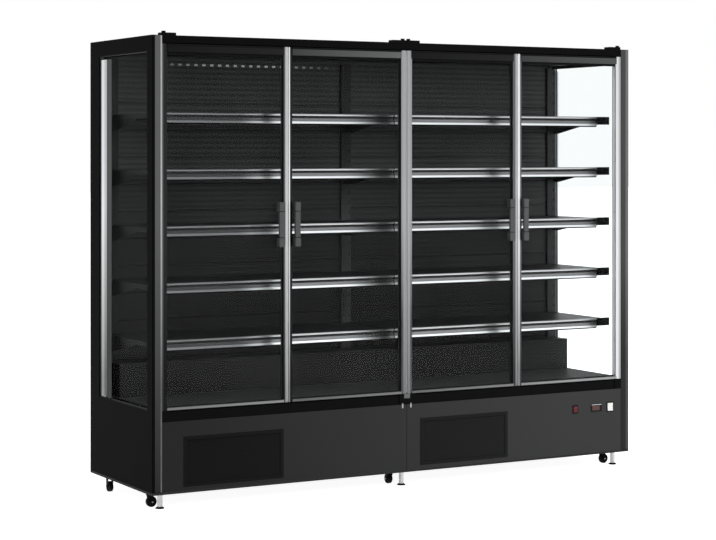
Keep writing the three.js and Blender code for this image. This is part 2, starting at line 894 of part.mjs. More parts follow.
// Folded tray with returned edges and a block of louvre slots.
function frontPanel( side, grilleStart ) {

	const ends = ordered( [ side * looseFit, side * clearHalf ] );
	const z = [ trayTop + fit, sillBottom - fit ];
	const panel = block( ends, [ 0, panelDepth ], z ).subtract( block(
		[ ends[ 0 ] + sheet, ends[ 1 ] - sheet ],
		[ sheet, panelDepth + sheet ], [ z[ 0 ] + sheet, z[ 1 ] - sheet ] ) );
	const columns = spaced( louvreColumns, grilleStart, grilleStart + grilleWidth );
	const half = grilleWidth / louvreColumns / 2 - louvreBridge / 2;
	const rows = spaced( louvreRows, grilleBottom, grilleBottom + grilleHeight );
	const louvres = columns.flatMap( ( x ) => rows.map( ( row ) => block(
		[ x - half, x + half ], [ -sheet, 2 * sheet ], [ row - louvreHeight / 2, row + louvreHeight / 2 ] ) ) );
	return panel.subtract( joined( louvres ) );

}

function aperture( width, height, depth, margin ) {

	return block( [ -width / 2 - margin, width / 2 + margin ], depth,
		[ -height / 2 - margin, height / 2 + margin ] );

}

// Bezel, housing and trunnion holes of a rocker switch, drawn about the middle of its opening.
function switchHousing( { width, height } ) {

	const outside = looseFit + bezelWidth;
	return joined( [
		aperture( width, height, [ -bezelProud, sheet ], outside ),
		aperture( width, height, [ 0, switchDepth ], looseFit + sheet ),
	] );

}

function switchOpening( { width, height } ) {

	const trunnionHalf = width / 2 + looseFit + sheet / 2;
	return joined( [
		aperture( width, height, [ -2 * bezelProud, switchDepth + sheet ], looseFit ),
		rodAlongX( trunnionRadius + fit, [ -trunnionHalf - fit, trunnionHalf + fit ], switchDepth / 2, 0 ),
	] );

}

// A rocker key with a shallow V face, on two trunnions.
function rocker( { width, height } ) {

	const face = -bezelProud;
	const crown = face - bezelProud / 2;
	const crownHalf = ( height - looseFit ) / 2;
	const key = prismAlongX( [
		[ crown, crownHalf ], [ face, 0 ], [ crown, -crownHalf ],
		[ switchDepth / 2, -height / 2 + looseFit ], [ switchDepth * 0.7, 0 ],
		[ switchDepth / 2, height / 2 - looseFit ],
	], [ -width / 2, width / 2 ] );
	const trunnionHalf = width / 2 + looseFit + sheet / 2;
	return key.add( rodAlongX( trunnionRadius, [ -trunnionHalf, trunnionHalf ], switchDepth / 2, 0 ) )
		.translate( [ 0, -switchDepth / 2, 0 ] );

}

function controller() {

	const plate = aperture( controllerWidth, controllerHeight, [ -bezelProud, -fit ], 0 );
	const body = aperture( controllerWidth, controllerHeight, [ -sheet, controllerBodyDepth ], -bezelWidth );
	return plate.add( body );

}

function controlledPanel() {

	let panel = frontPanel( 1, rightGrilleStart );
	for ( const [ x, size ] of [ [ powerSwitchX, powerSwitch ], [ lightSwitchX, lightSwitch ] ] ) {

		const at = [ x, 0, controlHeight ];
		panel = panel
			.add( switchHousing( size ).translate( at ) )
			.subtract( switchOpening( size ).translate( at ) );

	}

	const opening = aperture( controllerWidth, controllerHeight, [ -sheet, 2 * sheet ], fit - bezelWidth );
	return panel.subtract( opening.translate( [ controllerX, 0, controlHeight ] ) );

}

// ---------------------------------------------------------------------------------------------
// Cooling machine
// ---------------------------------------------------------------------------------------------

// A row of upright fins on a solid core, in plan.
function finnedPlan( width, front, thickness, fins, margin ) {

	const plan = [ [ -width / 2, front ] ];
	const fin = ( width - margin * ( fins - 1 ) ) / fins;
	for ( let i = 0; i < fins; i ++ ) {

		const start = -width / 2 + i * ( fin + margin );
		plan.push( [ start + fin, front ] );
		if ( i < fins - 1 ) {

			plan.push( [ start + fin, front + thickness / 3 ], [ start + fin + margin, front + thickness / 3 ] );
			plan.push( [ start + fin + margin, front ] );

		}

	}

	plan.push( [ width / 2, front + thickness ], [ -width / 2, front + thickness ] );
	return plan;

}

// Welded shell of the compressor on its base plate.
function compressor() {

	const plateHeight = 8;
	const domeRise = compressorRadius * 0.45;
	const wallTop = compressorHeight - domeRise;
	const arc = Array.from( { length: 6 }, ( _, i ) => {

		const angle = ( i / 5 ) * Math.PI / 2;
		return [ compressorRadius * Math.cos( angle ), wallTop + domeRise * Math.sin( angle ) ];

	} );
	arc[ 5 ][ 0 ] = 0;
	const profile = [ [ 0, plateHeight / 2 ], [ compressorRadius, plateHeight / 2 ], ...arc ];
	const points = profile.map( ( [ r, h ] ) => new THREE.Vector2( r, h ) );
	const shell = new THREE.LatheGeometry( points, roundSides );
	shell.rotateX( Math.PI / 2 );
	const foot = compressorRadius * 1.15;
	return joined( [
		solid( shell ),
		block( [ -foot, foot ], [ -foot, foot ], [ 0, plateHeight ] ),
		block( [ compressorRadius * 0.8, compressorRadius * 1.1 ], [ -30, 30 ],
			[ compressorHeight * 0.35, compressorHeight * 0.65 ] ),
	] );

}

const fanHeight = condenserHeight / 2;
const fanPlane = condenserFront + condenserThickness + shroudLength / 2;

// Finned condenser with the fan shroud, motor arms and motor shaft behind it.
function condenserCoil() {

	const rear = condenserFront + condenserThickness;
	const shroudEnd = rear + shroudLength;
	const plan = finnedPlan( condenserWidth, condenserFront, condenserThickness, condenserFins, finGap );
	const bore = fanRadius + looseFit;
	const airWay = rodAlongY( bore, 0,
		[ rear - condenserThickness / 3, shroudEnd + looseFit ], fanHeight, 2 * roundSides );
	const shroud = rodAlongY( bore + shroudWall, 0, [ rear - sheet, shroudEnd ], fanHeight, 2 * roundSides );
	const arm = block( [ -shroudWall, shroudWall ], [ shroudEnd - shroudWall, shroudEnd ],
		[ -fanRadius - shroudWall, fanRadius + shroudWall ] );
	const arms = [ 0, 90 ].map( ( angle ) => arm.rotate( [ 0, angle, 0 ] ).translate( [ 0, 0, fanHeight ] ) );
	const motor = rodAlongY( motorRadius, 0, [ shroudEnd - shroudWall, shroudEnd + motorLength ], fanHeight );
	const shaft = rodAlongY( axleRadius, 0, [ rear + looseFit, shroudEnd ], fanHeight );
	return joined( [ prismUp( plan, [ 0, condenserHeight ] ), shroud ] )
		.subtract( airWay )
		.add( joined( [ ...arms, motor, shaft ] ) );

}

function condenserFan() {

	const half = fanHubLength / 2;
	const bladeHalf = fanHubRadius * 0.8;
	const bladeSpan = [ fanHubRadius - sheet, fanRadius ];
	const blade = block( bladeSpan, [ -sheet / 2, sheet / 2 ], [ -bladeHalf, bladeHalf ] )
		.rotate( [ bladePitch, 0, 0 ] )
		.intersect( rodAlongY( fanRadius - looseFit, 0, [ -half, half ], 0, 2 * roundSides ) );
	const blades = spaced( fanBlades, 0, 360 ).map( ( angle ) => blade.rotate( [ 0, angle, 0 ] ) );
	return joined( [ rodAlongY( fanHubRadius, 0, [ -half, half ], 0 ), ...blades ] )
		.subtract( rodAlongY( axleRadius + axleClearance, 0, [ -half - looseFit, half + looseFit ], 0 ) );

}

function evaporatorCoil() {

	const plan = finnedPlan( evaporatorWidth, evaporatorFront, evaporatorDepth, evaporatorFins, finGap );
	return prismUp( plan, [ shellFloorTop + fit, shellFloorTop + fit + evaporatorHeight ] );

}

// ---------------------------------------------------------------------------------------------
// Assembly. Inside the cabinet group Y is the depth behind the door faces.
// ---------------------------------------------------------------------------------------------

const cabinet = new THREE.Group();
cabinet.position.y = ( handleProjection - cabinetDepth ) / 2;

function placed( mesh, x, y, z ) {

	mesh.position.set( x, y, z );
	return mesh;

}

cabinet.add(
	piece( 'base_frame', baseFrame(), finishes.zincSteel() ),
	piece( 'insulated_body', insulatedBody(), finishes.blackSteel() ),
	piece( 'left_end_panel', endPanel( -1 ), finishes.blackSteel() ),
	piece( 'right_end_panel', endPanel( 1 ), finishes.blackSteel() ),
	piece( 'left_end_glass', endGlass( -1 ), finishes.glass() ),
	piece( 'right_end_glass', endGlass( 1 ), finishes.glass() ),
	piece( 'top_fascia', topFascia(), finishes.blackSteel() ),
	piece( 'canopy_lamp', canopyLamp(), finishes.whitePlastic() ),
	piece( 'duct_panel', ductPanel(), finishes.linerSteel() ),
	piece( 'deck_pan', deckPan(), finishes.linerSteel() ),
	piece( 'door_sill', doorSill(), finishes.blackPlastic() ),
	piece( 'front_panel_left', frontPanel( -1, leftGrilleStart ), finishes.greySteel() ),
	piece( 'front_panel_right', controlledPanel(), finishes.greySteel() ),
	placed( piece( 'controller', controller(), finishes.blackPlastic() ), controllerX, 0, controlHeight ),
	placed( piece( 'power_switch', rocker( powerSwitch ), finishes.redPlastic() ),
		powerSwitchX, switchDepth / 2, controlHeight ),
	placed( piece( 'light_switch', rocker( lightSwitch ), finishes.whitePlastic() ),
		lightSwitchX, switchDepth / 2, controlHeight ),
);

const outerColumn = shelfOuterEnd - bracketInset;
const innerColumn = shelfInnerEnd + bracketInset;
const endUpright = shelfOuterEnd - uprightWidth / 2;
cabinet.add(
	piece( 'upright_left', upright( -endUpright, [ -outerColumn ] ), finishes.linerSteel() ),
	piece( 'upright_centre', upright( 0, [ -innerColumn, innerColumn ] ), finishes.linerSteel() ),
	piece( 'upright_right', upright( endUpright, [ outerColumn ] ), finishes.linerSteel() ),
);

for ( let level = 0; level < shelfLevels; level ++ ) {

	const number = level + 1;
	cabinet.add(
		placed( piece( `shelf_left_${ number }`, shelf( -1 ), finishes.linerSteel() ), 0, 0, levelTop( level ) ),
		placed( piece( `shelf_right_${ number }`, shelf( 1 ), finishes.linerSteel() ), 0, 0, levelTop( level ) ),
	);

}

for ( const { number, pivot, reach } of doors ) {

	const hung = new THREE.Group();
	hung.position.set( pivot, pivotDepth, doorBottom );
	hung.add(
		piece( `door_${ number }_frame`, doorFrame( reach ), finishes.aluminium() ),
		piece( `door_${ number }_glass`, doorGlassBlock( reach, 0 ), finishes.glass() ),
		piece( `door_${ number }_handle`, doorHandle( reach ), finishes.blackPlastic() ),
	);
	cabinet.add( hung );

}

cabinet.add(
	piece( 'top_hinge_left', topHinge( [ -endPivot ] ), finishes.blackSteel() ),
	piece( 'top_hinge_centre', topHinge( [ -centrePivot, centrePivot ] ), finishes.blackSteel() ),
	piece( 'top_hinge_right', topHinge( [ endPivot ] ), finishes.blackSteel() ),
);

for ( const { side, x, swivel } of frontCastors ) {

	const castor = new THREE.Group();
	castor.position.set( x, frontCastorDepth, 0 );
	castor.rotation.z = THREE.MathUtils.degToRad( swivel );
	castor.add(
		piece( `castor_fork_front_${ side }`, castorFork(), finishes.blackSteel() ),
		placed( piece( `castor_wheel_front_${ side }`, castorWheel(), finishes.rubber() ),
			0, castorTrail, axleHeight ),
	);
	cabinet.add( castor );

}

for ( const { side, x } of rearCastors ) {

	cabinet.add( placed( piece( `castor_wheel_rear_${ side }`, castorWheel(), finishes.rubber() ),
		x, rearCastorDepth, axleHeight ) );

}

for ( const { side, x, depth } of feet ) {

	const foot = piece( `levelling_foot_${ side }`, levellingFoot(), finishes.zincSteel() );
	cabinet.add( placed( foot, x, depth, 0 ) );

}

const machineFloor = cabinetBottom + sheet + fit;
cabinet.add(
	placed( piece( 'compressor', compressor(), finishes.blackSteel() ),
		compressorX, compressorDepth, machineFloor ),
	placed( piece( 'condenser_coil', condenserCoil(), finishes.aluminium() ), condenserX, 0, machineFloor ),
	placed( piece( 'condenser_fan', condenserFan(), finishes.blackPlastic() ),
		condenserX, fanPlane, machineFloor + fanHeight ),
	piece( 'evaporator_coil', evaporatorCoil(), finishes.aluminium() ),
);

export default cabinet;
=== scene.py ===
# A long upright display refrigerator with four hinged glass doors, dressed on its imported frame.
# The sections follow the cabinet as it is put together. Lengths are in metres.
import math

import bmesh
import bpy
from mathutils import Matrix, Vector


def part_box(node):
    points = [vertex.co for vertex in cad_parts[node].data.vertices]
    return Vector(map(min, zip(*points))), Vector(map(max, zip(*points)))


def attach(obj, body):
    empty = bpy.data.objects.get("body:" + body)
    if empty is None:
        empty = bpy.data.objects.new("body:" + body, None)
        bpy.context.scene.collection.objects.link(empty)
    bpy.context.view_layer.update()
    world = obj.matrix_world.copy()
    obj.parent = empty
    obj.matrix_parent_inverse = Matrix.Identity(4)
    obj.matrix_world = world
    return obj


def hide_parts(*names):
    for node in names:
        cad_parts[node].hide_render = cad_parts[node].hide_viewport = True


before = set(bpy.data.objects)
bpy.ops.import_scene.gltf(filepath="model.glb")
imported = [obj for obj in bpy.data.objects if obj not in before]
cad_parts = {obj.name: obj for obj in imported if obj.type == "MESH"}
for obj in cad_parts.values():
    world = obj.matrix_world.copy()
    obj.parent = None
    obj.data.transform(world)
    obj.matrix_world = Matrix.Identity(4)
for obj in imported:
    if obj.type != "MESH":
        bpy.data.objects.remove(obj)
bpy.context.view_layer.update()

# --------------------
# Studio and camera
# The cabinet stands alone on a white sweep and is photographed from its left at standing height
# through a long lens, with the film shifted down so that its corners stay upright.

picture_width, picture_height = 716, 540
sensor_width = 36.0
focal_pixels = 1938.4
eye = Vector((-4.5025, -7.8807, 1.5265))
heading = math.radians(-29.3986)
horizon_row = 151.64

lens = bpy.data.cameras.new("studio_camera")
lens.sensor_fit = "HORIZONTAL"
lens.sensor_width = sensor_width
lens.lens = focal_pixels / picture_width * sensor_width
lens.shift_y = (horizon_row - picture_height / 2) / picture_width
lens.clip_end = 200.0
camera = bpy.data.objects.new("studio_camera", lens)
camera.location = eye
camera.rotation_euler = (math.radians(90), 0, heading)
bpy.context.scene.collection.objects.link(camera)
bpy.context.scene.camera = camera
bpy.context.scene.view_settings.view_transform = "Standard"


def grey(tone):
    """A colour as it is, or for a number a grey with the faint blue of bare metal and enamel."""
    return tone if isinstance(tone, tuple) else (tone, tone * 1.01, tone * 1.03)


class Signal:
    """An output socket of a finish. Sums on it add Math nodes."""

    def __init__(self, finish, socket):
        self.finish, self.socket = finish, socket

    def sum(self, operation, first, second):
        return self.finish.node("Math", {0: first, 1: second}, operation=operation)

    def __add__(self, other):
        return self.sum("ADD", self, other)

    def __sub__(self, other):
        return self.sum("SUBTRACT", self, other)

    def __rsub__(self, other):
        return self.sum("SUBTRACT", other, self)

    def __mul__(self, other):
        return self.sum("MULTIPLY", self, other)

    def __gt__(self, other):
        return self.sum("GREATER_THAN", self, other)

    def __lt__(self, other):
        return self.sum("LESS_THAN", self, other)

    def __pow__(self, other):
        return self.sum("POWER", self, other)

    def __abs__(self):
        return self.sum("ABSOLUTE", self, 0)

    __radd__ = __add__
    __rmul__ = __mul__


class Finish:
    """The surface finish of a piece, as a material under construction."""

    def __init__(self, name, holder=None):
        self.material = None
        if holder is None:
            self.material = bpy.data.materials.new(name)
            holder = self.material
        holder.use_nodes = True
        self.tree = holder.node_tree
        self.tree.nodes.clear()

    def node(self, kind, sockets=None, output=0, stops=None, **settings):
        """Adds one node, sets it up, fills its sockets and gives one of its outputs."""
        made = self.tree.nodes.new("ShaderNode" + kind)
        for name, value in settings.items():
            setattr(made, name, value)
        if stops:
            ramp = made.color_ramp.elements
            while len(ramp) < len(stops):
                ramp.new(1.0)
            for element, (place, colour) in zip(ramp, stops):
                element.position = place
                element.color = (*grey(colour), 1.0)
        for name, value in (sockets or {}).items():
            if isinstance(value, Signal):
                self.tree.links.new(value.socket, made.inputs[name])
            else:
                made.inputs[name].default_value = value
        return Signal(self, made.outputs[output]) if made.outputs else None

    def place(self, stretch=(1, 1, 1)):
        """Object coordinates, stretched so that a pattern is long or short along an axis."""
        at = self.node("TexCoord", output="Object")
        return self.node("Mapping", {"Vector": at, "Scale": stretch})

    def noise(self, scale, detail=3.0, stretch=(1, 1, 1)):
        return self.node(
            "TexNoise", {"Vector": self.place(stretch), "Scale": scale, "Detail": detail}
        )

    def along(self, axis):
        """The Object coordinate along one axis, X, Y or Z."""
        at = self.node("TexCoord", output="Object")
        return self.node("SeparateXYZ", {"Vector": at}, output=axis)

    def rise(self, value, start, end, foot=0.0, head=1.0, **settings):
        """Goes evenly from foot to head while the value goes from start to end."""
        span = {"From Min": start, "From Max": end, "To Min": foot, "To Max": head}
        return self.node("MapRange", {"Value": value, **span}, **settings)

    def near(self, middle, half, full, **settings):
        """1 beside a place along X, and fading to 0 at half from it; full is where that starts."""
        away = abs((self.along("X") - middle) * (1 / half))
        return self.rise(away, full, 1.0, 1.0, 0.0, **settings)

    def shade(self, mask, dark, light):
        """A colour between dark and light, chosen by the mask."""
        return self.node("ValToRGB", {"Fac": mask}, stops=[(0.0, dark), (1.0, light)])

    def relief(self, height, depth, strength=1.0):
        return self.node(
            "Bump", {"Height": height, "Distance": depth, "Strength": strength}, output="Normal"
        )

    def surface(self, shader):
        self.node("OutputMaterial", {"Surface": shader})
        return self.material

    def body(self, **sockets):
        """A Principled surface; underscores in the names stand for spaces."""
        named = {name.replace("_", " "): value for name, value in sockets.items()}
        return self.surface(self.node("BsdfPrincipled", named))


def white_to_the_eye(finish, eye_strength, lamp_strength):
    """A light strength that is one value for what the eye sees and another for what lights."""
    sees = finish.node("LightPath", output="Is Camera Ray")
    for other in ("Is Glossy Ray", "Is Transmission Ray"):
        seen = finish.node("LightPath", output=other)
        sees = finish.node("Math", {0: sees, 1: seen}, operation="MAXIMUM")
    return lamp_strength + sees * (eye_strength - lamp_strength)


sky = bpy.data.worlds.new("studio")
bpy.context.scene.world = sky
air = Finish("studio", holder=sky)
backdrop = {"Color": (1, 1, 1, 1), "Strength": white_to_the_eye(air, 1.0, 0.55)}
air.node("OutputWorld", {"Surface": air.node("Background", backdrop)})

floor_half = 60.0
sweep = Finish("white_sweep")
lit = sweep.node("BsdfDiffuse", {"Color": (0.8, 0.8, 0.8, 1)})
glow = sweep.node(
    "Emission", {"Color": (1, 1, 1, 1), "Strength": white_to_the_eye(sweep, 0.92, 0.0)}
)
sweep.surface(sweep.node("AddShader", {0: glow, 1: lit}))
mesh = bpy.data.meshes.new("studio_floor")
shape = bmesh.new()
bmesh.ops.create_grid(shape, x_segments=1, y_segments=1, size=floor_half)
shape.to_mesh(mesh)
shape.free()
mesh.materials.append(sweep.material)
floor = bpy.data.objects.new("studio_floor", mesh)
bpy.context.scene.collection.objects.link(floor)


def softbox(name, at, aim, size, watts):
    """A square soft lamp that points at a place."""
    light = bpy.data.lights.new(name, "AREA")
    light.size = size
    light.energy = watts
    lamp = bpy.data.objects.new(name, light)
    lamp.location = at
    lamp.rotation_euler = (Vector(aim) - Vector(at)).to_track_quat("-Z", "Y").to_euler()
    lamp.visible_glossy = False
    lamp.visible_camera = False
    bpy.context.scene.collection.objects.link(lamp)


softbox("front_softbox", (2.4, -5.2, 3.2), (0.2, 0, 1.0), 3.0, 260)
softbox("top_softbox", (0.0, -0.5, 5.0), (0, 0, 1.0), 3.5, 120)

# --------------------
# Base frame
# A welded frame of folded and box steel carries the cabinet and its machine compartment. It is zinc
# plated, with a spangle that shows on the lip under the front panels; its zinc is a near-black copy
# of the bolts' zinc, as painted shade on that lip under the panels. Its end hems and the castor
# plates are black. Bolts close the rear end of each beam.


def zinc_plate(name, dark, light, hem=None):
    """Zinc plating: dull crystals in slightly different greys, and black past a hem."""
    coat = Finish(name)
    spangle = coat.node("TexVoronoi", {"Vector": coat.place(), "Scale": 160.0}, output="Color")
    crystal = coat.node("SeparateColor", {"Color": spangle}, output="Red")
    streak = coat.noise(9.0, 4.0)
    bare = 1.0
    if hem:
        side, foot = hem
        bare = (abs(coat.along("X")) < side) * (coat.along("Z") > foot)
    tone = (0.3 + crystal * 0.5 + streak * 0.2) * bare
    colour = coat.node("ValToRGB", {"Fac": tone}, stops=[(0.0, 0.006), (0.3, dark), (1.0, light)])
    return coat.body(
        Base_Color=colour, Metallic=bare * 1.0, Roughness=0.38 + crystal * 0.16,
        Specular_IOR_Level=0.05, Normal=coat.relief(crystal, 0.00005, 0.6)
    )


def finish_node(name, material):
    """Gives a carried-over CAD node its finish."""
    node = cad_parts[name]
    if node.material_slots:
        for held in node.material_slots:
            held.material = material
    else:
        node.data.materials.append(material)


class Workpiece:
    """A new piece on the bench. Each shape added to it takes one of its finishes."""

    def __init__(self, name, *finishes):
        self.name, self.finishes, self.whole = name, finishes, bmesh.new()

    def add(self, shape, finish=0, edge=0.0, rounds=2):
        """Adds a shape, with its edges rounded off by the length edge."""
        if edge:
            bmesh.ops.bevel(
                shape, geom=shape.edges[:], affect="EDGES", offset=edge, segments=rounds,
                profile=0.5, material=-1
            )
        bmesh.ops.recalc_face_normals(shape, faces=shape.faces)
        for face in shape.faces:
            face.material_index = finish
        loose = bpy.data.meshes.new("loose")
        shape.to_mesh(loose)
        shape.free()
        self.whole.from_mesh(loose)
        bpy.data.meshes.remove(loose)

    def block(self, low, high, edge=0.0, rounds=2, finish=0):
        """A block between two corners."""
        low, high = Vector(low), Vector(high)
        place = Matrix.Translation((low + high) / 2) @ Matrix.Diagonal((*(high - low), 1.0))
        shape = bmesh.new()
        bmesh.ops.create_cube(shape, size=1.0, matrix=place)
        self.add(shape, finish, edge, rounds)

    def bar(self, outline, axis, start, end, edge=0.0, finish=0):
        """A straight bar along X, Y or Z: its outline drawn across that axis, then extruded."""
        along = "XYZ".index(axis)
        across = [i for i in range(3) if i != along]
        shape = bmesh.new()
        ring = []
        for pair in outline:
            at = Vector((start, start, start))
            at[across[0]], at[across[1]] = pair
            ring.append(shape.verts.new(at))
        made = bmesh.ops.extrude_face_region(shape, geom=[shape.faces.new(ring)])
        step = Vector((0, 0, 0))
        step[along] = end - start
        far = [v for v in made["geom"] if isinstance(v, bmesh.types.BMVert)]
        bmesh.ops.translate(shape, verts=far, vec=step)
        self.add(shape, finish, edge, 1)

    def turned(self, outline, centre, direction, sides, finish=0):
        """A round shape: an outline of (radius, height) pairs, spun about a line through centre."""
        shape = bmesh.new()
        ring = [shape.verts.new((radius, 0, height)) for radius, height in outline]
        edges = [shape.edges.new(pair) for pair in zip(ring, ring[1:])]
        bmesh.ops.spin(
            shape, geom=ring + edges, cent=(0, 0, 0), axis=(0, 0, 1), dvec=(0, 0, 0),
            angle=math.tau, steps=sides, use_merge=True, use_duplicate=False
        )
        bmesh.ops.remove_doubles(shape, verts=shape.verts, dist=1e-6)
        turn = Vector(direction).to_track_quat("Z", "Y").to_matrix().to_4x4()
        bmesh.ops.transform(shape, matrix=Matrix.Translation(centre) @ turn, verts=shape.verts)
        self.add(shape, finish)

    def fit(self, body, slot, *stands_for):
        """Makes the piece an object, on a body, in place of the CAD nodes that it stands for."""
        mesh = bpy.data.meshes.new(self.name)
        self.whole.to_mesh(mesh)
        self.whole.free()
        for finish in self.finishes:
            mesh.materials.append(finish)
        mesh.shade_smooth()
        mesh.set_sharp_from_angle(angle=math.radians(30))
        made = bpy.data.objects.new(self.name, mesh)
        bpy.context.scene.collection.objects.link(made)
        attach(made, body)
        if stands_for:
            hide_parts(*stands_for)


base_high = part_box("base_frame")[1]
tray_foot = 0.075
hem = (base_high.x - 0.0006, tray_foot - 0.0004)
# The frame's zinc is near black, a shaded copy of the zinc below: painted shade on the lip under
# the front panels.
finish_node("base_frame", zinc_plate("frame_zinc", 0.014, 0.032, hem))
zinc = zinc_plate("zinc_plate", 0.30, 0.55)
rear_beams, bolt_spread, bolt_height = (-1.1797, 0.015, 1.1797), 0.016, 0.0985
rear_sheet, head_half, head_height = 0.002, 0.0055, 0.0018
bolt_head = [
    (0, head_height), (head_half * 0.86, head_height), (head_half, head_height * 0.85),
    (head_half, 0), (0, 0)
]
washer = [
    (0, head_height * 0.25), (head_half * 1.3, head_height * 0.25), (head_half * 1.3, 0), (0, 0)
]
beam_bolts = Workpiece("beam_bolts", zinc)
for middle in rear_beams:
    for offset in (-bolt_spread, bolt_spread):
        seat = (middle + offset, base_high.y - rear_sheet, bolt_height)
        beam_bolts.turned(bolt_head, seat, (0, 1, 0), 6)
        beam_bolts.turned(washer, seat, (0, 1, 0), 16)
beam_bolts.fit("root", "zinc_steel")

# --------------------
# Insulated body
# Floor, back and roof are one foamed shell between sheets of black powder-coated steel. The
# sheets of the back meet in pressed seams with a row of flush rivets beside each.


def powder_coat(name, dark, light, shine, gloss=0.42, painted_light=None):
    """Satin powder coat: fine orange peel, faint cloudiness and a few duller marks."""
    coat = Finish(name)
    peel = coat.noise(900.0, 2.0)
    cloud = coat.noise(3.5, 5.0)
    mark = coat.noise(60.0, 6.0, (1, 1, 0.3))
    tone = cloud * 0.8 + mark * 0.2
    # A ramp along an axis paints light and shade: the coat goes from dark to light along it.
    if painted_light:
        axis, start, end = painted_light
        tone = coat.rise(coat.along(axis), start, end) * 0.8 + cloud * 0.15 + mark * 0.05
    return coat.body(
        Base_Color=coat.shade(tone, dark, light),
        Roughness=gloss + cloud * 0.12 + (mark > 0.66) * 0.08, Specular_IOR_Level=shine,
        Normal=coat.relief(peel, 0.00012, 0.35)
    )


def seamed_coat(name, dark, light, shine, seams):
    """Powder coat over sheets that meet in pressed seams, with flush rivets beside them."""
    coat = Finish(name)
    peel = coat.noise(900.0, 2.0)
    cloud = coat.noise(3.5, 5.0)
    groove = 0.0
    across = coat.along("X")
    wave = coat.node("Math", {0: coat.along("Z"), 1: rivet_pitch}, operation="PINGPONG")
    for seam in seams:
        away = abs(across - seam)
        rivet = (abs(away - rivet_inset) < rivet_half) * (wave < rivet_half)
        groove = groove + (away < seam_half) + rivet
    return coat.body(
        Base_Color=coat.shade(cloud * (1.0 - groove), dark, light), Roughness=0.42 + cloud * 0.12,
        Specular_IOR_Level=shine, Normal=coat.relief(peel * 0.1 - groove, 0.0006, 0.5)
    )


black_coat = powder_coat("black_coat", 0.0025, 0.005, 0.006)
seam_half, rivet_inset, rivet_half, rivet_pitch = 0.0014, 0.014, 0.0024, 0.075
back_seams = (-0.605, 0.0, 0.605)
finish_node("insulated_body", seamed_coat("shell_coat", 0.0015, 0.004, 0.03, back_seams))

# --------------------
# End panels, corner strips and end windows
# Each end is a foamed black panel with a sealed glass unit let into it in a rubber seal. A drawn
# edge strip, with an enamel border on the left, is bonded on the glass at its rear; its face, its
# wedge and its border are a painted highlight that turns to painted shade towards the bottom.
# Folded bands cover the front corner; their black, grey, bright and pale bands paint the highlight
# and shade along that corner. The right window's spacer is white as a painted highlight. Grey
# fillers close the gaps beside the hinges.


def clear_glass(name, tint, head_on, grazing):
    """Clear sealed glass: it passes light with a faint tint and mirrors more at a low angle."""
    pane = Finish(name)
    through = pane.node("BsdfTransparent", {"Color": (*tint, 1)})
    mirror = pane.node("BsdfGlossy", {"Color": (1, 1, 1, 1), "Roughness": 0.02})
    edge_on = pane.node("LayerWeight", {"Blend": 0.5}, output="Facing")
    wiped = 0.7 + pane.noise(5.0, 4.0, (1, 1, 0.4)) * 0.6
    share = edge_on**5.0 * grazing + wiped * head_on
    return pane.surface(pane.node("MixShader", {0: share, 1: through, 2: mirror}))


def satin_aluminium(name, dark, light, grain_axis, gloss=0.28, painted_light=None):
    """Satin anodised aluminium, drawn along one axis. A ramp, given as its axis, dark end and light
    end, paints light and shade along that axis.
    """
    metal = Finish(name)
    stretch = tuple(0.02 if axis == grain_axis else 1.0 for axis in "XYZ")
    lines = metal.noise(1500.0, 2.0, stretch)
    if painted_light:
        axis, start, end = painted_light
        tone = metal.rise(metal.along(axis), start, end)
    else:
        tone = metal.noise(5.0, 3.0)
    return metal.body(
        Base_Color=metal.shade(lines * 0.3 + tone * 0.7, dark, light), Metallic=1.0,
        Roughness=gloss + lines * 0.14, Normal=metal.relief(lines, 0.00003, 0.4)
    )


def moulded_plastic(name, dark, light, shine, gloss):
    """Injection-moulded plastic with a fine spark-eroded grain."""
    grain = Finish(name)
    pebble = grain.node(
        "TexVoronoi", {"Vector": grain.place(), "Scale": 1400.0}, output="Distance"
    )
    cloud = grain.noise(12.0, 4.0)
    return grain.body(
        Base_Color=grain.shade(cloud, dark, light), Roughness=gloss + cloud * 0.1,
        Specular_IOR_Level=shine, Normal=grain.relief(pebble, 0.00005, 0.5)
    )


def ring(piece, along, depth, outer, width, edge=0.0006, finish=0):
    """A rectangular ring of four bars, flat across X or Y; a tuple finishes each on its own."""
    low, high = outer
    finishes = finish if isinstance(finish, tuple) else (finish,) * 4
    sides = (
        ((low[0], low[1]), (low[0] + width, high[1])),
        ((high[0] - width, low[1]), (high[0], high[1])),
        ((low[0] + width, low[1]), (high[0] - width, low[1] + width)),
        ((low[0] + width, high[1] - width), (high[0] - width, high[1]))
    )
    for (start, end), tone in zip(sides, finishes):
        if along == "X":
            corners = (depth[0], *start), (depth[1], *end)
        else:
            corners = (start[0], depth[0], start[1]), (end[0], depth[1], end[1])
        piece.block(*corners, edge, 1, finish=tone)


def hinge_filler(place, start, end, edge):
    """A grey filler between the hinged edge of a door and what stands beside it."""
    filler = Workpiece(place + "_hinge_filler", filler_rubber)
    low = (start, front_plane + filler_front, door_low.z)
    filler.block(low, (end, front_plane + filler_back, door_high.z), edge)
    filler.fit("root", "black_rubber")


end_glass = clear_glass("end_glass", (0.985, 0.998, 0.998), 0.002, 0.02)
# Painted highlight and shade: these metals go from dark low down to light high up.
strip_metal = satin_aluminium("strip_metal", 0.03, 0.80, "Z", painted_light=("Z", 0.52, 1.25))
strip_shade = satin_aluminium("strip_shade", 0.02, 0.56, "Z", 0.4, ("Z", 0.54, 1.30))
edge_metal = satin_aluminium("edge_metal", 0.02, 0.46, "Z", painted_light=("Z", 0.54, 1.30))
# The left spacer is grey metal; the right one is white plastic as a painted highlight.
spacer_metals = {
    "left": satin_aluminium("left_edge_spacer", 0.10, 0.16, "Z", 0.4),
    "right": moulded_plastic("right_edge_spacer", 0.84, 0.94, 0.2, 0.5),
}
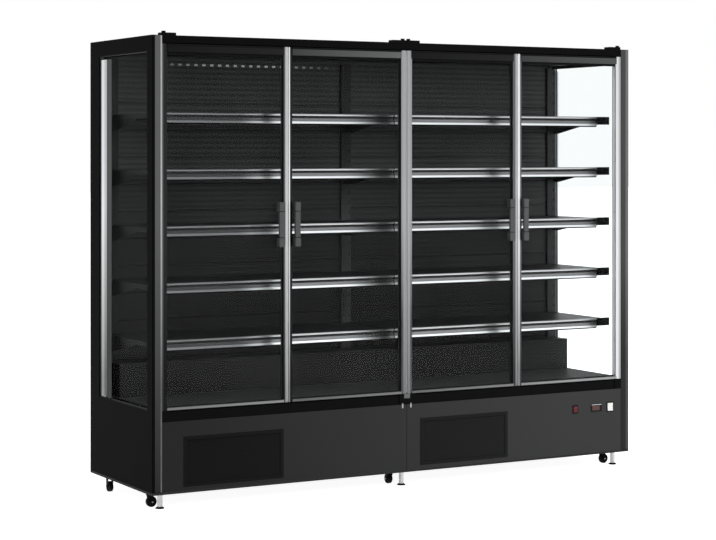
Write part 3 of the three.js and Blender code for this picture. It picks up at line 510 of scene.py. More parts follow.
# Lit and shaded copies of one coat for the grey corner bands, darker towards the bottom: painted
# light and shade.
corner_finishes = {
    "left": powder_coat("left_corner_coat", 0.006, 0.088, 0.1, painted_light=("Z", 0.1, 1.25)),
    "right": powder_coat("right_corner_coat", 0.008, 0.040, 0.1, painted_light=("Z", 0.55, 1.0)),
}
# A pale band on the right corner's outer edge: a painted highlight on its rounded edge, darker
# towards the bottom.
corner_highlight_coat = powder_coat("corner_highlight_coat", 0.035, 0.11, 0.1, painted_light=("Z", 0.5, 1.0))
# The enamel border also goes from dark low down to light high up: painted shade and light.
enamel_border = powder_coat("enamel_border", 0.004, 0.085, 0.1, painted_light=("Z", 0.66, 1.40))
# Of each corner band: its outer and inner distance from the middle, and its finish. The black,
# grey, bright and pale bands are painted shade and highlights.
corner_bands = {
    "left": ((1.2485, 1.2368, 2), (1.2367, 1.2112, 0), (1.2111, 1.2044, 1)),
    "right": ((1.2485, 1.2325, 3), (1.2324, 1.2044, 0)),
}
seal_rubber = moulded_plastic("seal_rubber", 0.004, 0.008, 0.03, 0.6)
filler_rubber = moulded_plastic("filler_rubber", 0.30, 0.42, 0.2, 0.5)
# Pale grey rubber for the meeting seals and the lips at the centre: a painted highlight in those
# gaps.
seal_highlight_rubber = moulded_plastic("seal_highlight_rubber", 0.62, 0.74, 0.2, 0.5)
door_low, door_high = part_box("door_1_frame")
front_plane = door_low.y
inner_half, outer_half = 1.210, 1.250
# The clearances: a gap round what is let in, and a parting between faces that touch.
gap, parting = 0.0003, 0.0002
seal_width, pane_sheet = 0.005, 0.003
strip_sheet, strip_foot, foot_height, feather, strip_edge = 0.003, 0.020, 0.007, 0.0005, 0.0006
band_proud, band_inset, band_edge = 0.0012, 0.002, 0.0004
filler_width, filler_front, filler_back, centre_half = 0.0046, 0.020, 0.043, 0.0022
# Of each edge strip: the widths of its flat, its wedge and its enamel border, and its inset.
strip_sizes = {"left": (0.034, 0.022, 0.055, 0.020), "right": (0.006, 0.003, 0.0, 0.0)}
for side, sign in (("left", -1), ("right", 1)):
    finish_node(side + "_end_panel", black_coat)
    finish_node(side + "_end_glass", end_glass)
    glass_low, glass_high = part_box(side + "_end_glass")
    panel_low, panel_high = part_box(side + "_end_panel")
    inner_face, outer_face = sorted((abs(glass_low.x), abs(glass_high.x)))
    flat, wedge, border, inset = strip_sizes[side]
    rear_edge = glass_high.y - 2 * seal_width - inset
    flat_edge = rear_edge - flat
    wedge_edge = flat_edge - wedge
    foot, head = glass_low.z + 2 * seal_width, glass_high.z - 4 * seal_width
    near, far = sign * (outer_face + gap), sign * (outer_face + gap + strip_sheet)
    thin = near + sign * feather
    strip = Workpiece(side + "_window_strip", strip_metal, strip_shade, enamel_border)
    inmost, outmost = sorted((near, far))
    strip.block((inmost, flat_edge, foot), (outmost, rear_edge, head), strip_edge, 1)
    tab_end = (outmost, flat_edge - parting, foot + foot_height)
    strip.block((inmost, flat_edge - strip_foot, foot), tab_end, strip_edge, 1)
    taper = [
        (near, flat_edge - parting), (far, flat_edge - parting), (thin, wedge_edge),
        (near, wedge_edge)
    ]
    strip.bar(taper, "Z", foot + foot_height + 0.001, head, finish=1)
    if border:
        strip.block(
            (near, wedge_edge - gap - border, foot), (thin, wedge_edge - gap, head), finish=2
        )
    strip.fit("root", "aluminium")
    seal = Workpiece(side + "_window_seal", seal_rubber)
    depth = sorted((near, sign * (outer_half - gap)))
    around = ((glass_low.y, glass_low.z), (glass_high.y, glass_high.z))
    ring(seal, "X", depth, around, seal_width, 0.0008)
    seal.fit("root", "black_rubber")
    spacer = Workpiece(side + "_window_spacer", spacer_metals[side])
    depth = sorted((sign * (inner_face + pane_sheet), sign * (outer_face - pane_sheet)))
    low = (glass_low.y + feather, glass_low.z + feather)
    high = (glass_high.y - feather, glass_high.z - feather)
    ring(spacer, "X", depth, (low, high), seal_width)
    spacer.fit("root", "aluminium")
    corner = Workpiece(
        side + "_corner_strip", corner_finishes[side], edge_metal, black_coat, corner_highlight_coat
    )
    for start, end, finish in corner_bands[side]:
        low_x, high_x = sorted((sign * start, sign * end))
        low = (low_x, front_plane - band_proud, panel_low.z + band_inset)
        high = (high_x, front_plane - parting, panel_high.z - band_inset)
        corner.block(low, high, band_edge, 1, finish)
    corner.fit("root", "black_steel")
    filler_sides = sorted((sign * (inner_half - gap), sign * (inner_half - filler_width)))
    hinge_filler(side, *filler_sides, 0.0012)
hinge_filler("centre", -centre_half, centre_half, 0.001)

# --------------------
# Duct panel
# One folded sheet stands over the evaporator and up the rear wall. It is creased for stiffness, and
# a row of punched slots under the roof lets the cold air out. Behind the slots a glowing strip, no
# lamp, paints the light seen through them, brightest at one place and fading both ways. The sheet's
# coat is painted paler towards the top and darker on the cooler's box.


def ribbed_coat(name, dark, light, shine, gloss, rib_pitch):
    """Powder coat over faintly ribbed sheet, with painted light that makes it paler with height and
    painted shade on the cooler's box.
    """
    coat = Finish(name)
    peel = coat.noise(900.0, 2.0)
    cloud = coat.noise(2.5, 5.0)
    wave = coat.node(
        "TexWave", {"Vector": coat.place(), "Scale": math.pi / 10 / rib_pitch, "Distortion": 0.0},
        output="Fac", bands_direction="Z"
    )
    # Painted shade below the riser top, and painted light that grows with height.
    shaded = coat.along("Z") < riser_top
    paler = coat.rise(coat.along("Z"), 0.85, 1.40, 0.33)
    tone = (cloud * 0.7 + wave * 0.3) * paler * (1.0 - shaded * 0.64)
    return coat.body(
        Base_Color=coat.shade(tone, dark, light), Roughness=gloss + cloud * 0.12,
        Specular_IOR_Level=shine, Normal=coat.relief(wave + peel * 0.08, 0.0006, 0.5)
    )


duct_low, duct_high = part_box("duct_panel")
upright_low, upright_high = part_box("upright_centre")
wall_face, riser_top = upright_high.y, upright_low.z
duct_coat = ribbed_coat("duct_coat", 0.005, 0.078, 0.12, 0.34, 0.0245)
shelf_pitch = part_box("shelf_left_2")[0].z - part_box("shelf_left_1")[0].z
duct_sheet = 0.0012
crease_pitch, crease_depth, crease_height = shelf_pitch / 2, 0.006, 0.010
slot_top, slot_height, slot_width, slot_pitch = duct_high.z - 0.031, 0.009, 0.016, 0.040
vent_top, vent_height = slot_top - 0.042, 0.046

path = [(duct_low.y, duct_low.z), (duct_low.y, riser_top), (wall_face, riser_top)]
crease_count = int((vent_top - vent_height - riser_top - crease_height) // crease_pitch)
for step in range(crease_count):
    middle = riser_top + crease_pitch * (step + 0.5)
    crease_foot, crease_head = middle - crease_height / 2, middle + crease_height / 2
    path += [
        (wall_face, crease_foot), (wall_face + crease_depth, middle), (wall_face, crease_head)
    ]
for top, height in ((vent_top, vent_height), (slot_top, slot_height)):
    path += [(wall_face, top - height), (wall_face, top)]
path.append((wall_face, duct_high.z))

sheet = bmesh.new()
corners = [sheet.verts.new((duct_low.x, y, z)) for y, z in path]
rim = [sheet.edges.new(pair) for pair in zip(corners, corners[1:])]
duct_width = duct_high.x - duct_low.x
slot_count = int(duct_width // slot_pitch)
margin = (duct_width - slot_count * slot_pitch + slot_pitch - slot_width) / 2
steps = [margin] + [slot_width, slot_pitch - slot_width] * slot_count
steps[-1] = margin
holes = []
for number, step in enumerate(steps):
    spread = bmesh.ops.extrude_edge_only(sheet, edges=rim)["geom"]
    fresh = [part for part in spread if isinstance(part, bmesh.types.BMVert)]
    bmesh.ops.translate(sheet, verts=fresh, vec=(step, 0, 0))
    edges = (part for part in spread if isinstance(part, bmesh.types.BMEdge))
    rim = [edge for edge in edges if all(vert in fresh for vert in edge.verts)]
    for face in (part for part in spread if isinstance(part, bmesh.types.BMFace)):
        middle = face.calc_center_median().z
        if number % 2 and slot_top - slot_height < middle < slot_top:
            holes.append(face)
bmesh.ops.delete(sheet, geom=holes, context="FACES")
bmesh.ops.recalc_face_normals(sheet, faces=sheet.faces)
bmesh.ops.solidify(sheet, geom=sheet.faces, thickness=duct_sheet)
duct = Workpiece("duct_panel_sheet", duct_coat)
duct.add(sheet)
vent_share = 0.4
vent_width = slot_width * vent_share
for number in range(slot_count):
    left = duct_low.x + margin + number * slot_pitch + (slot_width - vent_width) / 2
    low = (left, wall_face - 0.002, vent_top - vent_height)
    duct.block(low, (left + vent_width, wall_face + duct_sheet / 2, vent_top), 0.0008, 1)
duct.fit("root", "liner_steel", "duct_panel")


def lamp_glow(name, colour, strength, reach):
    """A glowing diffuser, brightest at one place along X and fading both ways; behind the duct
    slots this glow is a painted pool of light.
    """
    glow = Finish(name)
    speck = glow.noise(40.0, 3.0)
    light = glow.shade(glow.near(*reach, 0.4) * (0.9 + speck * 0.2), 0.0, colour)
    return glow.body(
        Base_Color=(0.02, 0.02, 0.02, 1), Roughness=0.4 + speck * 0.1, Emission_Color=light,
        Emission_Strength=strength
    )


lamp_inset, lamp_front, lamp_back, lamp_past = 0.03, 0.004, 0.012, 0.012
# A glowing strip, not a lamp: its glow behind the slots is painted light, brightest near the
# middle.
slot_glow_strip = Workpiece("slot_glow_strip", lamp_glow("slot_glow", (0.8, 0.82, 0.85), 0.36, (-0.52, 0.48)))
low = (duct_low.x + lamp_inset, wall_face + lamp_front, slot_top - slot_height - lamp_past)
high = (duct_high.x - lamp_inset, wall_face + lamp_back, slot_top + lamp_past)
slot_glow_strip.block(low, high, 0.002)
slot_glow_strip.fit("root", "white_plastic")

# --------------------
# Deck, uprights and shelves
# The deck is a folded pan with return-air slots. Punched uprights stand against the duct panel.
# Each shelf is a folded and ribbed tray on two hooked brackets. An aluminium ticket rail with a
# black cap at its outer end runs along its front edge.

finish_node("deck_pan", powder_coat("deck_coat", 0.018, 0.030, 0.07, 0.46))
upright_coat = powder_coat("upright_coat", 0.013, 0.022, 0.16, 0.3)
# The centre upright is a lit copy of the upright coat: painted light, paler below 1.2 m and darker
# above 1.5 m.
lit_coat = powder_coat("centre_upright_coat", 0.075, 0.020, 0.1, painted_light=("Z", 1.20, 1.50))
for place, coat in (("left", upright_coat), ("right", upright_coat), ("centre", lit_coat)):
    finish_node("upright_" + place, coat)


def rail_metal(name, dark, light, highlight_places):
    """Anodised rail with painted highlights: brighter about given places along X."""
    metal = Finish(name)
    lines = metal.noise(1200.0, 2.0, (0.01, 1, 1))
    rail_sheen = 0.0
    for middle, half in highlight_places:
        rail_sheen = rail_sheen + metal.near(middle, half, 0.5, interpolation_type="SMOOTHSTEP")
    return metal.body(
        Base_Color=metal.shade(rail_sheen * 0.85 + lines * 0.15, dark, light), Metallic=1.0,
        Roughness=0.25 + lines * 0.12, Normal=metal.relief(lines, 0.00003, 0.4)
    )


def chamfered(face, back, foot, head, across, up):
    """The outline of a bar from face to back and foot to head, with its front corners cut."""
    front = [(face + across, foot), (face, foot + up), (face, head - up)]
    return [(face + across, head), (back, head), (back, foot)] + front


# Where the rails carry painted highlights: the middle and half-width of each along X.
sheen_places = ((-0.44, 0.36), (0.33, 0.38), (0.90, 0.36))
# The lip, the bright ticket band and the grey ticket band are lit and shaded copies of one anodised
# metal: painted highlight and shade across the rail.
lip_metal = rail_metal("lip_metal", 0.10, 0.40, sheen_places)
ticket_highlight_metal = rail_metal("ticket_highlight_metal", 0.11, 0.85, sheen_places)
ticket_shade_metal = rail_metal("ticket_shade_metal", 0.035, 0.20, sheen_places)
shelf_coat = powder_coat("shelf_coat", 0.006, 0.012, 0.12, 0.34)
bracket_coat = powder_coat("bracket_coat", 0.002, 0.004, 0.03)

rear = wall_face - 0.020
tray_rise, tray_drop, tray_skirt, tray_sheet = 0.044, 0.006, 0.020, 0.0014
rib_count, rib_base, rib_crest, rib_depth = 3, 0.014, 0.009, 0.009
rail_depth, cap_length, cap_height = 0.012, 0.075, 0.038
bracket_drop, bracket_tip_drop, bracket_reach, bracket_half = 0.073, 0.028, 0.291, 0.002
bracket_offset, bracket_top = 0.0125, 0.0016
hook_drops, hook_foot, hook_head = (0.014, 0.063), 0.006, 0.002
lip_height, groove_height, band_height, ticket_height = 0.009, 0.011, 0.014, 0.010
for side, sign in (("left", -1), ("right", 1)):
    for level in range(1, 6):
        node, name = f"shelf_{side}_{level}", f"{side}_{level}"
        low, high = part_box(node)
        front, top = low.y, high.z - tray_drop
        lead, start, end = front + rail_depth / 2, low.x + 0.001, high.x - 0.001
        skirt, under = top - tray_skirt, top - tray_sheet
        tray = Workpiece("shelf_tray_" + name, shelf_coat, bracket_coat)
        outside = [(lead, skirt), (lead, top), (rear, top), (rear, skirt)]
        back, fore = rear - tray_sheet, lead + tray_sheet
        inside = [(back, skirt), (back, under), (fore, under), (fore, skirt)]
        tray.bar(outside + inside, "X", start, end, 0.0004)
        # The tray's end plates are black: painted shade at the shelf ends.
        for edge in (start, end - tray_sheet):
            far = (edge + tray_sheet, rear - 0.001, top - gap)
            tray.block((edge, lead + 0.001, skirt), far, finish=1)
        for number in range(1, rib_count + 1):
            middle = lead + (rear - lead) / (rib_count + 1) * number
            crest = top - rib_depth
            rib = [
                (middle - rib_base, under), (middle - rib_crest, crest),
                (middle + rib_crest, crest), (middle + rib_base, under)
            ]
            tray.bar(rib, "X", low.x + 0.020, high.x - 0.020)
        tray.fit("root", "liner_steel", node)
        arms = Workpiece("shelf_brackets_" + name, bracket_coat)
        for middle in (low.x + bracket_offset, high.x - bracket_offset):
            arm = [
                (rear - bracket_reach, top - bracket_top),
                (rear - bracket_reach, top - bracket_tip_drop),
                (rear - bracket_drop / 2, top - bracket_drop), (rear, top - bracket_drop),
                (rear, top - bracket_top)
            ]
            left, right = middle - bracket_half, middle + bracket_half
            arms.bar(arm, "X", left, right, 0.0006)
            for drop in hook_drops:
                foot, head = top - drop - hook_foot, top - drop + hook_head
                arms.block((left, rear - 0.002, foot), (right, high.y - 0.001, head), 0.0005, 1)
        arms.fit("root", "liner_steel")
        rail = Workpiece(
            "ticket_rail_" + name, lip_metal, bracket_coat, ticket_highlight_metal, ticket_shade_metal
        )
        outer, inner = (low.x, high.x) if sign < 0 else (high.x, low.x)
        cap_edge = outer - sign * cap_length
        span = sorted((cap_edge, inner + sign * 0.0005))
        back = front + rail_depth
        lip_foot = high.z - lip_height
        lip = [
            (front + 0.002, high.z), (back, high.z), (back, lip_foot), (front + 0.001, lip_foot),
            (front, lip_foot + 0.002), (front, high.z - 0.002)
        ]
        rail.bar(lip, "X", *span)
        head = lip_foot
        # Down from the lip: a black groove, the grey band, the bright band and a black foot. The
        # groove and foot are set back, and their black is painted shade in those recesses.
        for height, setback, finish in (
            (groove_height, 0.007, 1), (band_height, 0.004, 3), (ticket_height, 0.0, 2),
            (None, 0.005, 1)
        ):
            foot = head - height if height else top - tray_rise + 0.0005
            strip = chamfered(front + setback, back - 0.0004, foot, head, 0.0008, 0.001)
            rail.bar(strip, "X", *span, finish=finish)
            head = foot
        near, far = sorted((outer, cap_edge))
        rail.block(
            (near, front, high.z - cap_height), (far, back + 0.001, high.z), 0.002, finish=1
        )
        rail.fit("root", "aluminium")

# --------------------
# Canopy lamp
# A slim tube lamp with a white diffuser and moulded end caps is clipped under the roof, just
# behind the doors.

lamp_cover = moulded_plastic("lamp_cover", (0.6, 0.6, 0.58), (0.7, 0.7, 0.68), 0.4, 0.35)
finish_node("canopy_lamp", lamp_cover)
lamp_low, lamp_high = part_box("canopy_lamp")
caps = Workpiece("lamp_caps", moulded_plastic("cap_grey", 0.2, 0.28, 0.2, 0.45))
cap_wall, lamp_cap = 0.0012, 0.022
for end in (lamp_low.x - cap_wall, lamp_high.x + cap_wall - lamp_cap):
    low = (end, lamp_low.y - cap_wall, lamp_low.z - cap_wall)
    caps.block(low, (end + lamp_cap, lamp_high.y + cap_wall, lamp_high.z - parting), 0.002)
caps.fit("root", "white_plastic")

# --------------------
# Doors
# Each door is a sealed glass unit in a slim frame of drawn aluminium: bevelled stiles, a dark top
# rail and a grey bottom rail, with beads against the glass. Their greys are painted highlights and
# painted shade that differ from door to door; a black strip along the head and a black bead under
# the top rail are painted shade; and on door 4 the right-hand spacer and bead are white as a
# painted highlight. A rubber gasket runs round its back, and the left door of each pair carries the
# seal that fills the meeting gap; this seal and the lips at the centre are pale grey as a painted
# highlight.

door_glass = clear_glass("door_glass", (0.985, 0.992, 0.992), 0.003, 0.04)
# Each tone of the stiles is a lit or shaded copy of one aluminium, painting the stiles' highlights
# and shade: its darkest and palest, and the heights between which it pales.
stile_light_tones = {
    "bright": (0.02, 0.84, 0.50, 1.30),
    "pale": (0.11, 0.51, 0.43, 1.20),
    "mid": (0.055, 0.39, 0.43, 1.10),
    "dull": (0.07, 0.37, 0.43, 1.25),
    "steady": (0.24, 0.42, 0.43, 1.00),
    "glare": (0.46, 0.68, 0.50, 1.20),
    "side": (0.010, 0.35, 0.75, 1.25),
    "soft": (0.007, 0.140, 0.50, 1.10),
    "gloom": (0.006, 0.024, 0.60, 1.20),
}
stile_light_metals = {
    tone: satin_aluminium(tone + "_stile_metal", dark, pale, "Z", painted_light=("Z", low, high))
    for tone, (dark, pale, low, high) in stile_light_tones.items()
}
spacer_metal = satin_aluminium("spacer_metal", 0.03, 0.05, "Z", 0.4)
# White plastic for spacer and bead sides that carry a painted highlight.
spacer_highlight = moulded_plastic("spacer_highlight", 0.84, 0.94, 0.2, 0.5)
handle_grain = moulded_plastic("handle_grain", 0.045, 0.065, 0.2, 0.42)
handle_shadow = moulded_plastic("handle_shadow", 0.005, 0.009, 0.05, 0.6)

hinge_stile, free_stile, top_rail, bottom_rail, shadow_strip_height = 0.024, 0.018, 0.035, 0.012, 0.007
bead_width, bead_depth, head_shade_bead, bevel_fall, arris = 0.003, 0.003, 0.008, 0.003, 0.001
meeting_seal, seal_front, seal_back, seal_end = 0.0040, 0.004, 0.005, 0.001
hinge_lip, lip_front, lip_back = 0.0022, 0.005, 0.011
spacer_width, gasket_inset, gasket_width, gasket_depth = 0.006, 0.003, 0.009, 0.0085
bellows_shape = (
    (0.0, 0.0), (1.0, 0.0), (0.75, 0.35), (1.0, 0.6), (0.85, 1.0), (0.15, 1.0), (0.0, 0.6),
    (0.25, 0.35)
)
block_height, grip_width, grip_thickness = 0.040, 0.026, 0.014
# The hinge stile, then the free one: tones of flat and bevel, painted highlight and shade that
# differ from door to door, bevel width, lap over the glass.
stiles = {
    1: (("soft", "gloom", 0.018, 0.0), ("pale", "soft", 0.006, 0.0)),
    2: (("dull", "side", 0.009, 0.0), ("bright", "gloom", 0.012, 0.0)),
    3: (("dull", "side", 0.009, 0.002), ("mid", "soft", 0.009, 0.003)),
    4: (("steady", "glare", 0.012, 0.004), ("bright", "soft", 0.006, 0.004)),
}
# Each door's top and bottom rail metal, darkest and palest, graded along X: painted reflection and
# shade that differ from door to door.
top_rail_sheen = {1: (0.008, 0.02), 2: (0.03, 0.14), 3: (0.009, 0.022), 4: (0.04, 0.09)}
bottom_rail_sheen = {1: (0.11, 0.19), 2: (0.07, 0.15), 3: (0.07, 0.17), 4: (0.16, 0.26)}
for door in range(1, 5):
    body = f"door_{door}"
    low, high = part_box(body + "_frame")
    pane_low, pane_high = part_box(body + "_glass")
    reach = 1 if door % 2 else -1
    hinge_edge, free_edge = (low.x, high.x) if reach > 0 else (high.x, low.x)
    hinge_line = hinge_edge + reach * hinge_stile
    free_line = free_edge - reach * free_stile
    face, back = low.y, high.y
    painted_light = ("X", low.x, high.x)
    top_metal = satin_aluminium(f"top_rail_{door}", *top_rail_sheen[door], "X", 0.34, painted_light)
    bottom_metal = satin_aluminium(f"bottom_rail_{door}", *bottom_rail_sheen[door], "X", 0.34, painted_light)
    metals = [stile_light_metals[tone] for stile in stiles[door] for tone in stile[:2]]
    metals += [top_metal, bottom_metal, seal_rubber, spacer_highlight]
    door_frame = Workpiece(body + "_stiles", *metals)
    for outer, inner, finish in ((hinge_edge, hinge_line, 0), (free_edge, free_line, 2)):
        turn = 1 if inner > outer else -1
        bevel, lap = stiles[door][finish // 2][2:]
        edge = inner - turn * bevel
        flat_outline = [
            (outer, face + arris), (outer + turn * arris, face), (edge - turn * 0.0006, face),
            (edge, face + 0.0006), (edge, back), (outer, back)
        ]
        lap_back = pane_low.y - bead_depth - 0.0006
        bevel_outline = [
            (edge, face + 0.0006), (inner + turn * lap, face + bevel_fall),
            (inner + turn * lap, lap_back), (inner, lap_back), (inner, back), (edge, back)
        ]
        if not lap:
            del bevel_outline[2:4]
        door_frame.bar(flat_outline, "Z", low.z, high.z, finish=finish)
        door_frame.bar(bevel_outline, "Z", low.z, high.z, finish=finish + 1)
    span = sorted((hinge_line, free_line))
    # The black strip along the head of the frame is painted shadow under the fascia.
    for foot, head, finish in (
        (high.z - shadow_strip_height, high.z, 6), (high.z - top_rail, high.z - shadow_strip_height, 4),
        (low.z, low.z + bottom_rail, 5)
    ):
        outline = chamfered(face, back, foot, head, arris, arris)
        door_frame.bar(outline, "X", *span, finish=finish)
    opening = ((span[0], low.z + bottom_rail), (span[1], high.z - top_rail))
    bead_back = pane_low.y - gap
    bead_face = bead_back - bead_depth
    # On door 4 the right-hand bead and the spacer's right side are white: a painted highlight.
    beads = (6, 7, 6, 6) if door == 4 else 6
    ring(door_frame, "Y", (bead_face, bead_back), opening, bead_width, 0.0008, beads)
    # The black bead under the top rail is painted shade.
    bead_head = high.z - top_rail - bead_width - 0.0001
    bead_low = (span[0] + bead_width + parting, bead_face, bead_head - head_shade_bead)
    bead_high = (span[1] - bead_width - parting, bead_back, bead_head)
    door_frame.block(bead_low, bead_high, 0.0006, 1, 6)
    door_frame.fit(body, "aluminium", body + "_frame")
    spacer = Workpiece(body + "_spacer", spacer_metal, spacer_highlight)
    depth = (pane_low.y + pane_sheet, pane_high.y - pane_sheet)
    sides = (0, 1, 0, 0) if door == 4 else 0
    ring(spacer, "Y", depth, opening, spacer_width, finish=sides)
    spacer.fit(body, "aluminium")
    gasket = Workpiece(body + "_gasket", seal_rubber, seal_highlight_rubber)
    sides = (low.x + gasket_inset, high.x - gasket_inset)
    ends = (low.z + gasket_inset, high.z - gasket_inset)
    for axis, low_edge, start, end in (
        ("Z", sides[0], *ends), ("Z", sides[1] - gasket_width, *ends),
        ("X", ends[0], sides[0] + gasket_width, sides[1] - gasket_width),
        ("X", ends[1] - gasket_width, sides[0] + gasket_width, sides[1] - gasket_width)
    ):
        bellows = [
            (low_edge + width * gasket_width, back + parting + depth * gasket_depth)
            for width, depth in bellows_shape
        ]
        if axis == "X":
            bellows = [(depth, height) for height, depth in bellows]
        gasket.bar(bellows, axis, start, end)
    seal_foot, seal_head = low.z + seal_end, high.z - seal_end
    # The meeting seal below and the lips at the centre are pale: a painted highlight in the gaps.
    if reach > 0:
        seal_low = (free_edge + gap, face + seal_front, seal_foot)
        seal_high = (free_edge + meeting_seal, back - seal_back, seal_head)
        gasket.block(seal_low, seal_high, 0.0012, finish=1)
    if door in (2, 3):
        near, far = sorted((hinge_edge - reach * 0.0001, hinge_edge - reach * hinge_lip))
        lip_low, lip_high = (near, face + lip_front, seal_foot), (far, face + lip_back, seal_head)
        gasket.block(lip_low, lip_high, finish=1)
    gasket.fit(body, "black_rubber")
    finish_node(body + "_glass", door_glass)

    grip_low, grip_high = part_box(body + "_handle")
    handle = Workpiece(body + "_grip", handle_grain, handle_shadow)
    middle = (grip_low.x + grip_high.x) / 2
    left, right = middle - grip_width / 2, middle + grip_width / 2
    waist_foot = grip_low.z + block_height
    waist_head = grip_high.z - block_height
    for foot in (grip_low.z, waist_head):
        block_low = (grip_low.x, grip_low.y, foot)
        handle.block(block_low, (grip_high.x, grip_high.y, foot + block_height), 0.004, 3)
    hollow, grip_back = grip_low.y + 0.0015, grip_low.y + grip_thickness
    waist = [
        (grip_low.y, waist_foot + 0.002), (hollow, waist_foot + 0.012),
        (hollow, waist_head - 0.012), (grip_low.y, waist_head - 0.002),
        (grip_back, waist_head - 0.002), (grip_back, waist_foot + 0.002)
    ]
    handle.bar(waist, "X", left, right, 0.002)
    for foot in (waist_foot, waist_head - 0.002):
        joint_low = (left + 0.002, grip_low.y + 0.002, foot - 0.001)
        handle.block(joint_low, (right - 0.002, grip_back - 0.002, foot + 0.003), finish=1)
    handle.fit(body, "handle_plastic", body + "_handle")

# --------------------
# Hinges, sill and fascia
# Black moulded covers hide the upper hinge plates, with the turned pin heads standing through
# them. The sill is a folded black sheet with a bearing block for every lower pin and two bright
# turn catches that hold the lower panels in.

black_grain = moulded_plastic("black_grain", 0.002, 0.004, 0.02, 0.4)
for place in ("left", "centre", "right"):
    finish_node("top_hinge_" + place, black_grain)
finish_node("door_sill", black_grain)
finish_node("top_fascia", black_coat)
cover = Workpiece("lower_hinge_cover", moulded_plastic("hinge_block", 0.09, 0.12, 0.1, 0.45))
cover_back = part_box("door_sill")[0].y - parting
cover_left, cover_right, cover_sheet, cover_drop = -0.0157, 0.0150, 0.0014, 0.020
cover_low = (cover_left, cover_back - cover_sheet, door_low.z - cover_drop)
cover.block(cover_low, (cover_right, cover_back, door_low.z - 0.0006), 0.0008)
cover.fit("root", "black_plastic")
panel_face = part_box("front_panel_left")[0].y
catch_face, catch_foot, catch_head, catch_shoulder = panel_face - 0.0018, 0.366, 0.392, 0.380
catch_centres, rivet_height = (-0.0225, 0.021), 0.386
catches = Workpiece("panel_catches", satin_aluminium("catch_metal", 0.2, 0.3, "Z", 0.3))
rivet = [(0, 0.0016), (0.0018, 0.0014), (0.0030, 0.0006), (0.0033, 0), (0, 0)]
for middle in catch_centres:
    tongue = [
        (middle - 0.0035, catch_foot), (middle + 0.0035, catch_foot),
        (middle + 0.0042, catch_shoulder), (middle + 0.0042, catch_head),
        (middle - 0.0042, catch_head), (middle - 0.0042, catch_shoulder)
    ]
    catches.bar(tongue, "Y", catch_face, panel_face - gap, 0.0004)
    catches.turned(rivet, (middle, catch_face, rivet_height), (0, -1, 0), 16)
catches.fit("root", "zinc_steel")

# --------------------
# Front panels and grilles
# Two folded steel panels close the machine compartment. Each has an opening with a black louvred
# grille clipped in, and a foam dust filter behind it. The right one is pierced for the controls.

# The panel, grille and flange coats go from dark at the left to light at the right along X: painted
# light and shade across the front.
panel_coat = powder_coat("panel_coat", 0.005, 0.027, 0.12, painted_light=("X", -1.25, 0.9))
grille_coat = powder_coat("grille_coat", 0.008, 0.019, 0.05, painted_light=("X", -1.2, 0.6))
flange_coat = powder_coat("flange_coat", 0.003, 0.009, 0.05, painted_light=("X", -1.2, 0.6))
filter_foam = moulded_plastic("filter_foam", 0.001, 0.003, 0.01, 0.8)
switch_black = moulded_plastic("switch_black", 0.006, 0.010, 0.06, 0.35)
panel_sheet, panel_return = 0.002, 0.020
grille_x = {"left": (-1.095, -0.637), "right": (0.080, 0.538)}
grille_z = (0.106, 0.310)
blade_count, blade_height, flange_width, rib_width, wall_width = 26, 0.0062, 0.010, 0.004, 0.006
filter_side, filter_end, filter_front, filter_back = 0.006, 0.004, 0.0105, 0.0175
control_z, switch_margin, control_margin = 0.298, 0.001, -0.0037
controls = {
    "power_switch": (0.935, 0.022, 0.030, switch_margin),
    "controller": (1.058, 0.062, 0.036, control_margin),
    "light_switch": (1.139, 0.030, 0.038, switch_margin),
}


def pierced_sheet(outline, holes, front, thickness):
    """An upright sheet across Y, cut out of its outline with rectangular holes."""
    edges = [outline, *holes]
    columns = sorted({value for area in edges for value in area[0]})
    rows = sorted({value for area in edges for value in area[1]})
    shape = bmesh.new()
    points = {(x, z): shape.verts.new((x, front, z)) for x in columns for z in rows}
    for left, right in zip(columns, columns[1:]):
        for foot, head in zip(rows, rows[1:]):
            x, z = (left + right) / 2, (foot + head) / 2
            if not any(a[0][0] < x < a[0][1] and a[1][0] < z < a[1][1] for a in holes):
                corners = ((left, foot), (right, foot), (right, head), (left, head))
                shape.faces.new([points[corner] for corner in corners])
    loose = [point for point in shape.verts if not point.link_faces]
    bmesh.ops.delete(shape, geom=loose, context="VERTS")
    made = bmesh.ops.extrude_face_region(shape, geom=shape.faces[:])
    far = [part for part in made["geom"] if isinstance(part, bmesh.types.BMVert)]
    bmesh.ops.translate(shape, verts=far, vec=(0, thickness, 0))
    return shape


